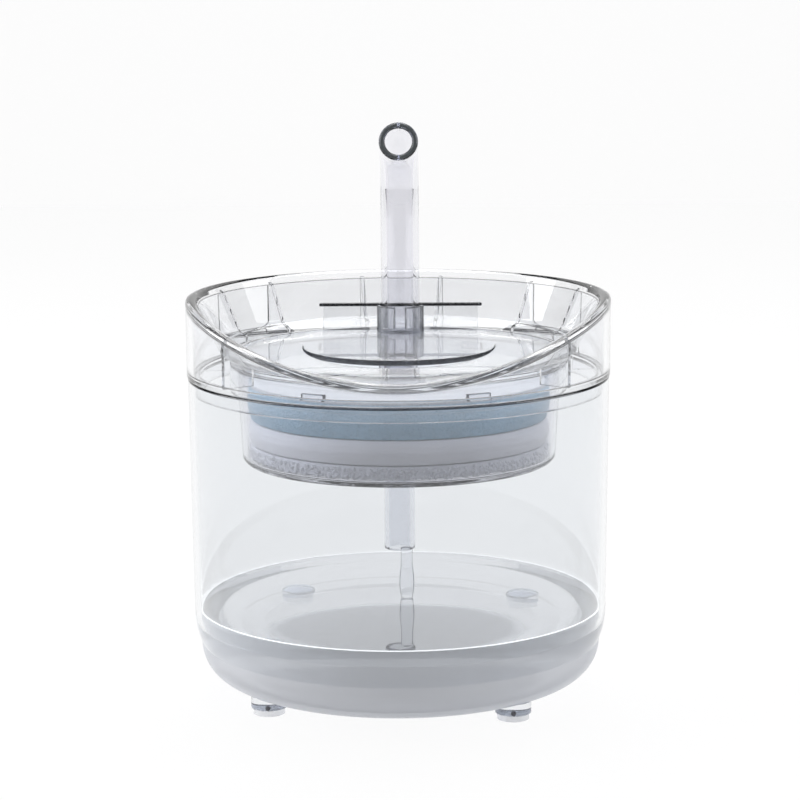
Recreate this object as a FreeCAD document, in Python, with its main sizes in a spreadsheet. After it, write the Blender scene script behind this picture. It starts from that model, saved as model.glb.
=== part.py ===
import FreeCAD, Part
import math
import os
import Sketcher

# Clear pet water fountain: a round tank on four feet, a lift-off collar with a
# saddle-shaped rim, a drinking plate with a bent spout, and a filter basket
# that hangs under the collar. Millimetres, +Z up, the feet stand on z = 0 and
# the tank's axis is the Z axis. The front, where the rim dips, faces -Y.

App = FreeCAD
doc = App.newDocument("PetWaterFountain")
sheet = doc.addObject("Spreadsheet::Sheet", "Sizes")

# Sizes that are set on their own.
SIZES = {
    # tank
    "tank_radius": 80.0,
    "tank_wall": 2.2,
    "tank_floor": 2.4,
    "tank_underside": 4.0,
    "tank_height": 119.7,
    "tank_corner": 29.0,
    # feet
    "foot_across": 46.0,
    "foot_along": 40.0,
    "foot_turn_angle": -4.6,
    "foot_boss_radius": 6.8,
    "foot_boss_base": 2.2,
    "foot_boss_height": 5.6,
    "foot_pad_radius": 6.0,
    "foot_dot_radius": 0.9,
    "foot_dot_depth": 1.6,
    "foot_dot_rise": 1.2,
    # collar
    "seam_gap": 0.3,
    "collar_overhang": 0.4,
    "collar_wall": 2.4,
    "collar_flange": 2.0,
    "spigot_clearance": 0.35,
    "spigot_wall": 2.0,
    "spigot_drop": 6.0,
    "rim_rise": 29.8,
    "rim_front_rise": 8.3,
    "rim_turn": 8.0,
    "rim_power": 2.16,
    "rim_width": 3.9,
    "rim_crest": 0.6,
    "rim_shoulder": 1.8,
    "rim_skin": 2.4,
    "funnel_run": 8.0,
    "ledge_width": 6.9,
    "ledge_rise": 3.4,
    "ledge_skin": 2.2,
    "seat_rise": 6.4,
    "shelf_width": 2.9,
    "shelf_skin": 1.8,
    "skirt_wall": 2.0,
    "skirt_drop": 11.4,
    "gusset_thickness": 1.6,
    # bayonet between the basket and the skirt
    "lug_width": 9.0,
    "lug_height": 2.4,
    "lug_reach": 1.5,
    "lug_drop": 5.6,
    "lug_clearance": 0.35,
    "lug_turn_angle": 24.0,
    # drinking plate
    "plate_clearance": 0.4,
    "plate_thickness": 2.2,
    "chord_share": 0.855,
    "tab_share": 0.507,
    "tab_thickness": 1.8,
    "tab_rise": 10.9,
    "tab_lip": 1.5,
    "tab_lip_height": 1.2,
    "tab_lip_side": 0.6,
    "slot_inner_share": 0.6,
    "slot_inner_shift": 9.4,
    "slot_outer_share": 0.67,
    "slot_outer_shift": 4.2,
    "slot_tip_back": 12.5,
    # spout and its socket
    "spout_back_share": 0.7925,
    "spout_radius": 7.6,
    "spout_wall": 2.3,
    "spout_straight": 60.0,
    "spout_bend": 19.0,
    "spout_bend_angle": 70.0,
    "spout_nose": 6.0,
    "socket_clearance": 0.3,
    "socket_wall": 1.5,
    "socket_drop": 0.4,
    "socket_slit": 4.0,
    "socket_slit_rise": 2.2,
    "spout_foot_rise": 5.2,
    "spout_seal_rise": 3.0,
    "seal_section": 0.7,
    "seal_clearance": 0.08,
    # cross duct under the plate
    "duct_depth": 6.4,
    "duct_half_width": 7.4,
    "duct_skin": 1.5,
    # riser pipe
    "riser_radius": 5.9,
    "riser_wall": 1.8,
    "riser_length": 69.7,
    "riser_insert": 1.0,
    "riser_socket_wall": 1.5,
    "riser_socket_depth": 6.2,
    "riser_clearance": 0.1,
    "riser_seal_drop": 3.0,
    "riser_seal_section": 0.45,
    # filter basket
    "basket_gap": 0.4,
    "basket_draft": 1.8,
    "basket_skirt_gap": 0.7,
    "basket_depth": 37.2,
    "basket_wall": 1.6,
    "basket_floor": 1.8,
    "basket_corner": 2.6,
    "sleeve_clearance": 0.5,
    "sleeve_wall": 1.5,
    "sleeve_gap": 0.6,
    "drain_width": 2.2,
    "drain_start_share": 0.3,
    "drain_end_share": 0.78,
    # filter layers
    "layer_clearance": 0.5,
    "layer_gap": 0.1,
    "granules_thickness": 5.8,
    "cotton_thickness": 9.2,
    "sponge_thickness": 14.4,
    # water that the photograph shows in the tank
    "water_depth": 29.1,
    "water_clearance": 0.15,
    "stream_shift": 2.6,
    "stream_radius": 2.9,
}

# Sizes that follow from the ones above, so that pieces that meet stay together.
DERIVED = {
    "tank_top": "tank_underside + tank_height",
    "tank_floor_top": "tank_underside + tank_floor",
    "collar_radius": "tank_radius + collar_overhang",
    "collar_bottom": "tank_top + seam_gap",
    "spigot_out": "tank_radius - tank_wall - spigot_clearance",
    "spigot_in": "spigot_out - spigot_wall",
    "rim_inner_radius": "collar_radius - rim_width",
    "rim_high": "collar_bottom + rim_rise",
    "rim_low": "collar_bottom + rim_front_rise",
    "ledge_radius": "rim_inner_radius - funnel_run",
    "seat_radius": "ledge_radius - ledge_width",
    "seat_height": "collar_bottom + seat_rise",
    "shelf_radius": "seat_radius - shelf_width",
    "plate_radius": "seat_radius - plate_clearance",
    "plate_top": "seat_height + plate_thickness",
    "mouth_height": "plate_top + 0.2",
    "ledge_high": "mouth_height + ledge_rise",
    "skirt_radius": "basket_top_radius + basket_skirt_gap",
    "skirt_bottom": "seat_height - skirt_drop",
    "chord_back": "chord_share * plate_radius",
    "tab_half_width": "tab_share * plate_radius",
    "tab_top": "plate_top + tab_rise",
    "slot_inner_radius": "slot_inner_share * plate_radius",
    "slot_outer_radius": "slot_outer_share * plate_radius",
    "spout_back": "spout_back_share * plate_radius",
    "spout_bore": "spout_radius - spout_wall",
    "spout_foot": "duct_bottom + spout_foot_rise",
    "spout_straight_top": "spout_foot + spout_straight",
    "socket_bore": "spout_radius + socket_clearance",
    "socket_top": "tab_top - socket_drop",
    "socket_slit_bottom": "plate_top + socket_slit_rise",
    "seal_groove_level": "spout_foot + spout_seal_rise",
    "duct_bottom": "seat_height - duct_depth",
    "riser_bore": "riser_radius - riser_wall",
    "riser_top": "duct_bottom + riser_insert",
    "riser_bottom": "riser_top - riser_length",
    "riser_socket_bottom": "duct_bottom - riser_socket_depth",
    "riser_seal_level": "duct_bottom - riser_seal_drop",
    "basket_top": "seat_height - shelf_skin - basket_gap",
    "basket_top_radius": "seat_radius",
    "basket_bottom_radius": "basket_top_radius - basket_draft",
    "basket_bottom": "basket_top - basket_depth",
    "basket_floor_top": "basket_bottom + basket_floor",
    "lug_level": "basket_top - lug_drop",
    "sleeve_bore": "riser_radius + sleeve_clearance",
    "sleeve_out": "sleeve_bore + sleeve_wall",
    "sleeve_top": "riser_socket_bottom - sleeve_gap",
    "granules_bottom": "basket_floor_top + layer_gap",
    "granules_top": "granules_bottom + granules_thickness",
    "cotton_bottom": "granules_top + layer_gap",
    "cotton_top": "cotton_bottom + cotton_thickness",
    "sponge_bottom": "cotton_top + layer_gap",
    "sponge_top": "sponge_bottom + sponge_thickness",
    "water_level": "tank_floor_top + water_depth",
}

row = 1
for alias, value in SIZES.items():
    sheet.set("A%d" % row, alias)
    sheet.set("B%d" % row, str(value))
    sheet.setAlias("B%d" % row, alias)
    row += 1
doc.recompute()


def amount(text):
    """The value of a sum of products of named sizes, to place points before they are bound."""
    total = 0.0
    for term in text.replace("- ", "+ -").split("+ "):
        product = 1.0
        for factor in term.split("*"):
            factor = factor.strip()
            if factor.startswith("-"):
                product = -product
                factor = factor[1:].strip()
            if factor in SIZES or factor in DERIVED:
                product *= size(factor)
            else:
                product *= float(factor)
        total += product
    return total


def size(name):
    if name in DERIVED:
        return amount(DERIVED[name])
    return float(getattr(sheet, name))


def bound(text):
    """The same sum as an expression in the sheet's aliases."""
    out = ""
    word = ""
    for letter in text + " ":
        if letter.isalpha() or letter == "_":
            word += letter
            continue
        if word in DERIVED:
            out += "(" + bound(DERIVED[word]) + ")"
        elif word in SIZES:
            out += "Sizes." + word
        else:
            out += word
        word = ""
        out += letter
    return out.strip()


def new_body(label):
    body = doc.addObject("PartDesign::Body", label)
    body.Label = label
    return body


def plane(body, role):
    return [f for f in body.Origin.OriginFeatures if f.Role == role][0]


def new_sketch(body, name, role="XZ_Plane", offset=None):
    sketch = body.newObject("Sketcher::SketchObject", name)
    sketch.AttachmentSupport = [(plane(body, role), "")]
    sketch.MapMode = "FlatFace"
    if offset is not None:
        sketch.setExpression("AttachmentOffset.Base.z", bound(offset))
    return sketch


def hold(sketch, index, point, across, up):
    """Bind one point of a sketch to two expressions, measured from the sketch's origin."""
    for kind, text in (("DistanceX", across), ("DistanceY", up)):
        value = amount(text)
        if abs(value) < 1e-9 and text == "0":
            axis = -2 if kind == "DistanceX" else -1
            sketch.addConstraint(Sketcher.Constraint("PointOnObject", index, point, axis))
            continue
        if value >= 0:
            made = Sketcher.Constraint(kind, -1, 1, index, point, value)
            number = sketch.addConstraint(made)
            sketch.setExpression("Constraints[%d]" % number, bound(text))
        else:
            made = Sketcher.Constraint(kind, index, point, -1, 1, -value)
            number = sketch.addConstraint(made)
            sketch.setExpression("Constraints[%d]" % number, "-(" + bound(text) + ")")


def outline(sketch, corners):
    """A closed outline of straight lines through corners, each a pair of expressions."""
    points = [App.Vector(amount(a), amount(b), 0) for a, b in corners]
    count = len(points)
    first = sketch.GeometryCount
    for i in range(count):
        line = Part.LineSegment(points[i], points[(i + 1) % count])
        sketch.addGeometry(line, False)
    for i in range(count):
        after = first + (i + 1) % count
        sketch.addConstraint(Sketcher.Constraint("Coincident", first + i, 2, after, 1))
    for i, (a, b) in enumerate(corners):
        hold(sketch, first + i, 1, a, b)


CORNER_STEPS = 4


def turned_corner(across, up, inset="", stride=1):
    """Points round the big bottom corner, from the floor to the wall, inset for a wall or gap."""
    points = []
    for i in range(0, CORNER_STEPS + 1, stride):
        angle = math.pi / 2 * i / CORNER_STEPS
        run = 1 - math.sin(angle)
        rise = 1 - math.cos(angle)
        x = "%s - %.5f * tank_corner" % (across, run)
        z = "%s + %.5f * tank_corner" % (up, rise)
        for name in inset.split():
            x += " + %.5f * %s" % (run, name)
            z += " - %.5f * %s" % (rise, name)
        points.append((x, z))
    return points


def ring(sketch, across, up, radius):
    """A circle whose centre and radius are bound to the sheet."""
    centre = App.Vector(amount(across), amount(up), 0)
    made = Part.Circle(centre, App.Vector(0, 0, 1), amount(radius))
    index = sketch.addGeometry(made, False)
    hold(sketch, index, 3, across, up)
    limit = Sketcher.Constraint("Radius", index, amount(radius))
    number = sketch.addConstraint(limit)
    sketch.setExpression("Constraints[%d]" % number, bound(radius))
    return index


def revolve(body, sketch, name, kind="PartDesign::Revolution"):
    feature = body.newObject(kind, name)
    feature.Profile = sketch
    feature.ReferenceAxis = (sketch, ["V_Axis"])
    feature.Angle = 360.0
    doc.recompute()
    return feature


def pad(body, sketch, name, length, reverse=False):
    feature = body.newObject("PartDesign::Pad", name)
    feature.Profile = sketch
    feature.setExpression("Length", bound(length))
    feature.Reversed = reverse
    doc.recompute()
    return feature


def pocket(body, sketch, name, length, reverse=False):
    before = body.Shape.Volume
    feature = body.newObject("PartDesign::Pocket", name)
    feature.Profile = sketch
    feature.setExpression("Length", bound(length))
    feature.Reversed = reverse
    doc.recompute()
    if not body.Shape.Volume < before - 0.1:
        raise RuntimeError(name + " cut nothing")
    return feature


def polar(body, feature, name, count):
    pattern = body.newObject("PartDesign::PolarPattern", name)
    pattern.Originals = [feature]
    pattern.Axis = (plane(body, "Z_Axis"), [""])
    pattern.Angle = 360.0
    pattern.Occurrences = count
    body.Tip = pattern
    doc.recompute()
    return pattern


def feature_from(label, shape):
    """A plain feature for a shape that has no sketch, such as the saddle collar."""
    made = doc.addObject("Part::Feature", label)
    made.Label = label
    made.Shape = shape
    made.Placement = App.Placement()
    return made


def turned(angle):
    return App.Placement(App.Vector(), App.Rotation(App.Vector(0, 0, 1), angle))


UP = App.Vector(0, 0, 1)
MIDDLE = App.Vector(0, 0, 0)
OUTPUT = {}

# The tank is one clear moulding: an upright wall, a broad round corner and a
# flat floor. The corner is turned as short cones.
tank = new_body("tank_shell")
profile = new_sketch(tank, "tank_profile")
outer_line = turned_corner("tank_radius", "tank_underside")
inner_line = turned_corner("tank_radius - tank_wall", "tank_floor_top", "tank_wall")
outline(profile, [("0", "tank_underside")] + outer_line + [
    ("tank_radius", "tank_top"),
    ("tank_radius - tank_wall", "tank_top"),
] + inner_line[::-1] + [("0", "tank_floor_top")])
revolve(tank, profile, "tank_turned")

# What the tank holds, a little clear of its wall: the water is cut from it, and
# the foot bosses are cut back to it.
inside = new_body("tank_inside")
profile = new_sketch(inside, "inside_profile")
wet_line = turned_corner("tank_radius - tank_wall - water_clearance",
                         "tank_floor_top + water_clearance", "tank_wall water_clearance",
                         2)
outline(profile, [("0", "tank_floor_top + water_clearance")] + wet_line + [
    ("tank_radius - tank_wall - water_clearance", "tank_top"),
    ("0", "tank_top"),
])
revolve(inside, profile, "inside_turned")

# Four bosses under the round corner carry the feet. The two in front have a
# small blind hole, which shows as a dark dot. The tank
# stands a few degrees turned under the collar, so its feet are turned too.
BOSSES = [("front_left", -1, -1), ("front_right", 1, -1), ("rear_left", -1, 1),
          ("rear_right", 1, 1)]
bosses = []
for name, side, depth in BOSSES:
    x = side * size("foot_across")
    y = depth * size("foot_along")
    low = size("foot_boss_base")
    boss = Part.makeCylinder(size("foot_boss_radius"), size("foot_boss_height"),
                             App.Vector(x, y, low))
    boss = boss.cut(inside.Shape)
    if depth < 0:
        dot_start = App.Vector(x, y - size("foot_boss_radius") + size("foot_dot_depth"),
                               low + size("foot_dot_rise"))
        boss = boss.cut(Part.makeCylinder(size("foot_dot_radius"), size("foot_boss_radius"),
                                          dot_start, App.Vector(0, -1, 0)))
    boss.Placement = turned(size("foot_turn_angle")).multiply(boss.Placement)
    bosses.append(boss)
OUTPUT["tank"] = feature_from("tank_moulding", tank.Shape.fuse(bosses).removeSplitter())

# Soft clear pads, one under each boss.
for name, side, depth in BOSSES:
    foot = new_body("foot_" + name)
    circle = new_sketch(foot, "pad_circle_" + name, "XY_Plane")
    ring(circle, "foot_across" if side > 0 else "-foot_across",
         "foot_along" if depth > 0 else "-foot_along", "foot_pad_radius")
    pad(foot, circle, "pad_disc_" + name, "foot_boss_base")
    foot.Placement = turned(size("foot_turn_angle"))
    OUTPUT["foot_" + name] = foot

# Shapes for the collar. Its rim is level round the back and sides and dips to
# the front. The funnel runs from the rim down to a ledge that dips far less,
# then to the plate's mouth, with open space and gussets behind it.
RIM_POINTS = 24


def dip(y):
    """How far a point has gone down the rim's dip, 0 at the back and about 1 at the front."""
    turn = size("rim_turn")
    if y >= turn:
        return 0.0
    full = turn + size("rim_inner_radius")
    return min(((turn - y) / full) ** size("rim_power"), 1.05)


def closed_curve(radius, high, low, rise=0.0):
    """A closed curve on a cylinder that goes from one height at the back to one in front."""
    points = []
    for i in range(RIM_POINTS):
        angle = 2 * math.pi * i / RIM_POINTS
        x = radius * math.cos(angle)
        y = radius * math.sin(angle)
        eased = y * size("rim_inner_radius") / radius
        points.append(App.Vector(x, y, high - (high - low) * dip(eased) + rise))
    curve = Part.BSplineCurve()
    curve.interpolate(points, PeriodicFlag=True)
    return curve.toShape()


def rim_curve(radius, rise):
    return closed_curve(radius, size("rim_high"), size("rim_low"), rise)


def ledge_curve(radius, rise):
    return closed_curve(radius, size("ledge_high"), size("mouth_height"), rise)


def flat_curve(radius, height):
    return closed_curve(radius, height, height)


def ruled_solid(curves):
    """A solid from a stack of closed curves; the first and last are flat and capped."""
    faces = []
    for first, second in zip(curves, curves[1:]):
        faces.append(Part.makeRuledSurface(first, second))
    faces.append(Part.Face(Part.Wire([curves[0]])))
    faces.append(Part.Face(Part.Wire([curves[-1]])))
    shell_made = Part.makeShell(faces)
    shell_made.sewShape()
    solid = Part.Solid(shell_made)
    if solid.Volume < 0:
        solid.reverse()
    return solid


outer = size("collar_radius")
rim_in = size("rim_inner_radius")
low_edge = size("collar_bottom")
beyond = outer + size("collar_wall")
plug = ruled_solid([
    flat_curve(beyond, low_edge),
    rim_curve(beyond, -size("rim_shoulder") - size("collar_wall")),
    rim_curve((outer + rim_in) / 2, size("rim_crest")),
    rim_curve(rim_in, 0.0),
    ledge_curve(size("ledge_radius"), 0.0),
    flat_curve(size("shelf_radius"), size("mouth_height")),
])
plug = plug.common(Part.makeCylinder(outer, size("rim_high"), MIDDLE))
skin = size("rim_skin")
hollow = ruled_solid([
    flat_curve(outer, low_edge - size("collar_flange")),
    rim_curve(outer, -skin),
    ledge_curve(size("ledge_radius"), -size("ledge_skin")),
    flat_curve(size("skirt_radius") + size("skirt_wall") - 0.5,
               size("mouth_height") - size("ledge_skin")),
])
hollow = hollow.common(Part.makeCylinder(outer - size("collar_wall"), size("rim_high"),
                                         MIDDLE))

# Thin radial gussets tie the outer wall to the funnel, at these bearings from
# the right-hand side, anticlockwise seen from above.
GUSSET_ANGLES = [24.0, 47.0, 78.0, 102.0, 133.0, 156.0, 185.0, 218.0, 322.0, 355.0]
gussets = []
for angle in GUSSET_ANGLES:
    blade = Part.makeBox(outer - size("seat_radius"), size("gusset_thickness"),
                         size("rim_rise"),
                         App.Vector(size("seat_radius"), -size("gusset_thickness") / 2,
                                    low_edge + size("collar_flange")))
    blade.rotate(MIDDLE, UP, angle)
    gussets.append(blade)
upper = plug.cut(hollow.cut(gussets))
upper = upper.cut(Part.makeCylinder(size("seat_radius"), size("rim_high"), MIDDLE))

# The turned part of the collar: flange and spigot that sit in the tank's mouth.
spigot = new_body("collar_spigot")
profile = new_sketch(spigot, "spigot_profile")
outline(profile, [
    ("spigot_in", "collar_bottom - spigot_drop"),
    ("spigot_out", "collar_bottom - spigot_drop"),
    ("spigot_out", "collar_bottom"),
    ("collar_radius - 0.5", "collar_bottom"),
    ("collar_radius - 0.5", "collar_bottom + collar_flange"),
    ("spigot_in", "collar_bottom + collar_flange"),
])
revolve(spigot, profile, "spigot_ring")

# The plate's shelf with the basket's skirt under it.
skirt = new_body("collar_skirt")
profile = new_sketch(skirt, "skirt_profile")
outline(profile, [
    ("shelf_radius", "seat_height - shelf_skin"),
    ("skirt_radius", "seat_height - shelf_skin"),
    ("skirt_radius", "skirt_bottom"),
    ("skirt_radius + skirt_wall", "skirt_bottom"),
    ("skirt_radius + skirt_wall", "mouth_height - 0.4"),
    ("seat_radius", "mouth_height - 0.4"),
    ("seat_radius", "seat_height"),
    ("shelf_radius", "seat_height"),
])
revolve(skirt, profile, "skirt_ring")


def sector(inner, outer_radius, low, tall, start, sweep):
    """Part of a thick ring, from a bearing through a sweep in degrees."""
    made = Part.makeCylinder(outer_radius, tall, App.Vector(0, 0, low), UP, sweep)
    made = made.cut(Part.makeCylinder(inner, tall, App.Vector(0, 0, low)))
    made.rotate(MIDDLE, UP, start)
    return made


# Four bayonet windows in the skirt: the basket's lugs turn inside them. Each
# has a way in, open at the skirt's lower edge, at the far end of the turn.
LUG_ANGLES = [-62.0, -118.0, 62.0, 118.0]
lug_slack = size("lug_clearance")
half_lug = math.degrees((size("lug_width") / 2 + 2 * lug_slack) / size("skirt_radius"))
skirt_in = size("skirt_radius") - 0.3
skirt_out = size("skirt_radius") + size("skirt_wall") + 0.3
window_low = size("lug_level") - lug_slack
window_tall = size("lug_height") + 2 * lug_slack
windows = []
for angle in LUG_ANGLES:
    windows.append(sector(skirt_in, skirt_out, window_low, window_tall, angle - half_lug,
                          2 * half_lug + size("lug_turn_angle")))
    windows.append(sector(skirt_in, skirt_out, size("skirt_bottom") - 0.3,
                          window_low - size("skirt_bottom") + 1.0,
                          angle + size("lug_turn_angle") - half_lug, 2 * half_lug))
collar_shape = upper.fuse([spigot.Shape, skirt.Shape.cut(windows)]).removeSplitter()
OUTPUT["collar"] = feature_from("collar_moulding", collar_shape)

# The drinking plate: a disc with a cut-off back, an upright tab along the cut
# and a socket for the spout.
plate = new_body("plate_disc")
circle = new_sketch(plate, "plate_circle", "XY_Plane", "seat_height")
ring(circle, "0", "0", "plate_radius")
pad(plate, circle, "plate_pad", "plate_thickness")
behind = new_sketch(plate, "plate_chord", "XY_Plane", "plate_top")
outline(behind, [
    ("-plate_radius", "chord_back"),
    ("plate_radius", "chord_back"),
    ("plate_radius", "plate_radius + plate_clearance"),
    ("-plate_radius", "plate_radius + plate_clearance"),
])
pocket(plate, behind, "plate_chord_cut", "2 * plate_thickness")
panel = new_sketch(plate, "tab_base", "XY_Plane", "seat_height")
outline(panel, [
    ("-tab_half_width", "chord_back - tab_thickness"),
    ("tab_half_width", "chord_back - tab_thickness"),
    ("tab_half_width", "chord_back"),
    ("-tab_half_width", "chord_back"),
])
pad(plate, panel, "tab_panel", "tab_top - seat_height")
lip = new_sketch(plate, "tab_lip_base", "XY_Plane", "tab_top - tab_lip_height")
outline(lip, [
    ("-tab_half_width - tab_lip", "chord_back - tab_thickness - tab_lip_side"),
    ("tab_half_width + tab_lip", "chord_back - tab_thickness - tab_lip_side"),
    ("tab_half_width + tab_lip", "chord_back + tab_lip_side"),
    ("-tab_half_width - tab_lip", "chord_back + tab_lip_side"),
])
pad(plate, lip, "tab_lip_pad", "tab_lip_height")
boss = new_sketch(plate, "socket_circle", "XY_Plane", "seat_height")
ring(boss, "0", "spout_back", "socket_bore + socket_wall")
pad(plate, boss, "socket_boss", "socket_top - seat_height")
bore = new_sketch(plate, "socket_bore_circle", "XY_Plane", "tab_top")
ring(bore, "0", "spout_back", "socket_bore")
pocket(plate, bore, "socket_bore_cut", "tab_top - seat_height + plate_thickness")
slit = new_sketch(plate, "socket_slit_base", "XY_Plane", "socket_top")
outline(slit, [
    ("-0.5 * socket_slit", "spout_back - socket_bore - 2 * socket_wall"),
    ("0.5 * socket_slit", "spout_back - socket_bore - 2 * socket_wall"),
    ("0.5 * socket_slit", "spout_back - 0.5 * socket_bore"),
    ("-0.5 * socket_slit", "spout_back - 0.5 * socket_bore"),
])
pocket(plate, slit, "socket_slit_cut", "socket_top - socket_slit_bottom")

# The crescent drain slot lies between two circles of unlike centres, with its
# tips cut off square.
slot_low = size("seat_height") - 1.0
slot_tall = size("plate_thickness") + 2.0
wide = Part.makeCylinder(size("slot_outer_radius"), slot_tall,
                         App.Vector(0, -size("slot_outer_shift"), slot_low))
narrow = Part.makeCylinder(size("slot_inner_radius"), slot_tall,
                           App.Vector(0, size("slot_inner_shift"), slot_low))
reach = size("slot_outer_radius")
tips = Part.makeBox(2 * reach, reach, slot_tall,
                    App.Vector(-reach, size("slot_tip_back"), slot_low))
crescent = wide.cut(narrow).cut(tips)
OUTPUT["cover_plate"] = feature_from("drinking_plate",
                                     plate.Shape.cut(crescent).removeSplitter())

# The duct under the plate leads from the riser in the middle to the spout.
duct = new_body("duct_block")
lane = new_sketch(duct, "duct_lane", "XY_Plane", "duct_bottom")
outline(lane, [
    ("-duct_half_width", "0"),
    ("duct_half_width", "0"),
    ("duct_half_width", "spout_back"),
    ("-duct_half_width", "spout_back"),
])
pad(duct, lane, "duct_pad", "duct_depth")
front_end = new_sketch(duct, "duct_front", "XY_Plane", "duct_bottom")
ring(front_end, "0", "0", "duct_half_width")
pad(duct, front_end, "duct_front_pad", "duct_depth")
rear_end = new_sketch(duct, "duct_rear", "XY_Plane", "duct_bottom")
ring(rear_end, "0", "spout_back", "socket_bore + socket_wall")
pad(duct, rear_end, "duct_rear_pad", "duct_depth")
neck = new_sketch(duct, "riser_neck", "XY_Plane", "riser_socket_bottom")
ring(neck, "0", "0", "riser_radius + riser_clearance + riser_socket_wall")
pad(duct, neck, "riser_neck_pad", "riser_socket_depth")
channel = new_sketch(duct, "duct_channel", "XY_Plane", "seat_height - duct_skin")
outline(channel, [
    ("-duct_half_width + duct_skin", "0"),
    ("duct_half_width - duct_skin", "0"),
    ("duct_half_width - duct_skin", "spout_back"),
    ("-duct_half_width + duct_skin", "spout_back"),
])
pocket(duct, channel, "duct_channel_cut", "duct_depth - 2 * duct_skin")
cup = new_sketch(duct, "spout_cup", "XY_Plane", "seat_height")
ring(cup, "0", "spout_back", "socket_bore")
pocket(duct, cup, "spout_cup_cut", "seat_height - spout_foot + seam_gap")
mouth = new_sketch(duct, "spout_mouth", "XY_Plane", "spout_foot")
ring(mouth, "0", "spout_back", "spout_bore")
pocket(duct, mouth, "spout_mouth_cut", "spout_foot - duct_bottom - duct_skin")
lower = new_sketch(duct, "riser_socket", "XY_Plane", "riser_top")
ring(lower, "0", "0", "riser_radius + riser_clearance")
pocket(duct, lower, "riser_socket_cut", "riser_insert + riser_socket_depth + 1")
upward = new_sketch(duct, "riser_inlet", "XY_Plane", "duct_bottom + 0.5 * duct_depth")
ring(upward, "0", "0", "riser_bore")
pocket(duct, upward, "riser_inlet_cut", "0.5 * duct_depth")
OUTPUT["cross_duct"] = duct

# The riser pipe hangs from the duct; the pump's outlet pushes on to its lower end.
riser = new_body("riser_tube")
profile = new_sketch(riser, "riser_profile")
groove_in = "riser_radius - 2 * riser_seal_section"
groove_low = "riser_seal_level - riser_seal_section - 0.1"
groove_high = "riser_seal_level + riser_seal_section + 0.1"
outline(profile, [
    ("riser_bore", "riser_bottom"),
    ("riser_radius", "riser_bottom"),
    ("riser_radius", groove_low),
    (groove_in, groove_low),
    (groove_in, groove_high),
    ("riser_radius", groove_high),
    ("riser_radius", "riser_top"),
    ("riser_bore", "riser_top"),
])
revolve(riser, profile, "riser_turned")
OUTPUT["riser_pipe"] = riser


def seal_ring(label, outside, section, level, back):
    """A sealing ring of square section about a vertical line at y = back."""
    body = new_body(label)
    line = new_sketch(body, label + "_profile")
    outline(line, [
        (outside + " - 2 * " + section, level + " - " + section),
        (outside, level + " - " + section),
        (outside, level + " + " + section),
        (outside + " - 2 * " + section, level + " + " + section),
    ])
    revolve(body, line, label + "_turned")
    body.setExpression("Placement.Base.y", bound(back))
    doc.recompute()
    return body


OUTPUT["riser_seal"] = seal_ring("riser_ring", "riser_radius + 0.02",
                                 "riser_seal_section", "riser_seal_level", "0 * riser_radius")

# The spout is a clear tube that stands in the socket and bends forward over
# the plate.
back = size("spout_back")
bend = size("spout_bend")
leaning = math.radians(size("spout_bend_angle"))
straight_top = size("spout_straight_top")
foot_level = size("spout_foot")


def on_bend(angle):
    return App.Vector(0, back - bend * (1 - math.cos(angle)),
                      straight_top + bend * math.sin(angle))


def mitre_point(step):
    """Where two tangents of the bend meet, so the straight lengths lie outside its arc."""
    part = leaning / BEND_STEPS
    middle = part * (step + 0.5)
    far = bend / math.cos(part / 2)
    return App.Vector(0, back - bend + far * math.cos(middle),
                      straight_top + far * math.sin(middle))


BEND_STEPS = 5


def swept(radius):
    """The bend is a run of short straight lengths with mitred joints."""
    low_point = App.Vector(0, back, foot_level)
    path_points = [low_point]
    for i in range(BEND_STEPS):
        path_points.append(mitre_point(i))
    ahead = App.Vector(0, -math.sin(leaning), math.cos(leaning))
    path_points.append(on_bend(leaning) + ahead * size("spout_nose"))
    path = Part.makePolygon(path_points)
    section = Part.Wire([Part.Circle(low_point, UP, radius).toShape()])
    return path.makePipeShell([section], True, False, 1)


spout_shape = swept(size("spout_radius")).cut(swept(size("spout_bore")))
section = size("seal_section")
groove_level = size("seal_groove_level") - section - 0.1
groove_tall = 2 * section + 0.2
groove_core = size("socket_bore") - size("seal_clearance") - 2 * section
groove = Part.makeCylinder(size("socket_bore"), groove_tall, App.Vector(0, back, groove_level))
groove = groove.cut(Part.makeCylinder(groove_core, groove_tall,
                                      App.Vector(0, back, groove_level)))
spout_shape = spout_shape.cut(groove).removeSplitter()
OUTPUT["spout_tube"] = feature_from("spout", spout_shape)
OUTPUT["spout_seal"] = seal_ring("spout_ring", "socket_bore - seal_clearance",
                                 "seal_section", "seal_groove_level", "spout_back")

# The filter basket: a tapered cup with a middle sleeve round the riser, drain
# slots in its floor and four bayonet lugs.
basket = new_body("basket_cup")
profile = new_sketch(basket, "basket_profile")
outline(profile, [
    ("sleeve_bore", "basket_bottom"),
    ("basket_bottom_radius - basket_corner", "basket_bottom"),
    ("basket_bottom_radius - 0.293 * basket_corner", "basket_bottom + 0.293 * basket_corner"),
    ("basket_bottom_radius", "basket_bottom + basket_corner"),
    ("basket_top_radius", "basket_top"),
    ("basket_top_radius - basket_wall", "basket_top"),
    ("basket_bottom_radius - basket_wall", "basket_floor_top"),
    ("sleeve_out", "basket_floor_top"),
    ("sleeve_out", "sleeve_top"),
    ("sleeve_bore", "sleeve_top"),
])
revolve(basket, profile, "basket_turned")
slot = new_sketch(basket, "drain_slot", "XY_Plane", "basket_floor_top + layer_gap")
outline(slot, [
    ("drain_start_share * basket_bottom_radius", "-0.5 * drain_width"),
    ("drain_end_share * basket_bottom_radius", "-0.5 * drain_width"),
    ("drain_end_share * basket_bottom_radius", "0.5 * drain_width"),
    ("drain_start_share * basket_bottom_radius", "0.5 * drain_width"),
])
slot_cut = pocket(basket, slot, "drain_slot_cut", "2 * basket_floor")
DRAIN_COUNT = 16
polar(basket, slot_cut, "drain_slots", DRAIN_COUNT)
lugs = []
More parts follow.
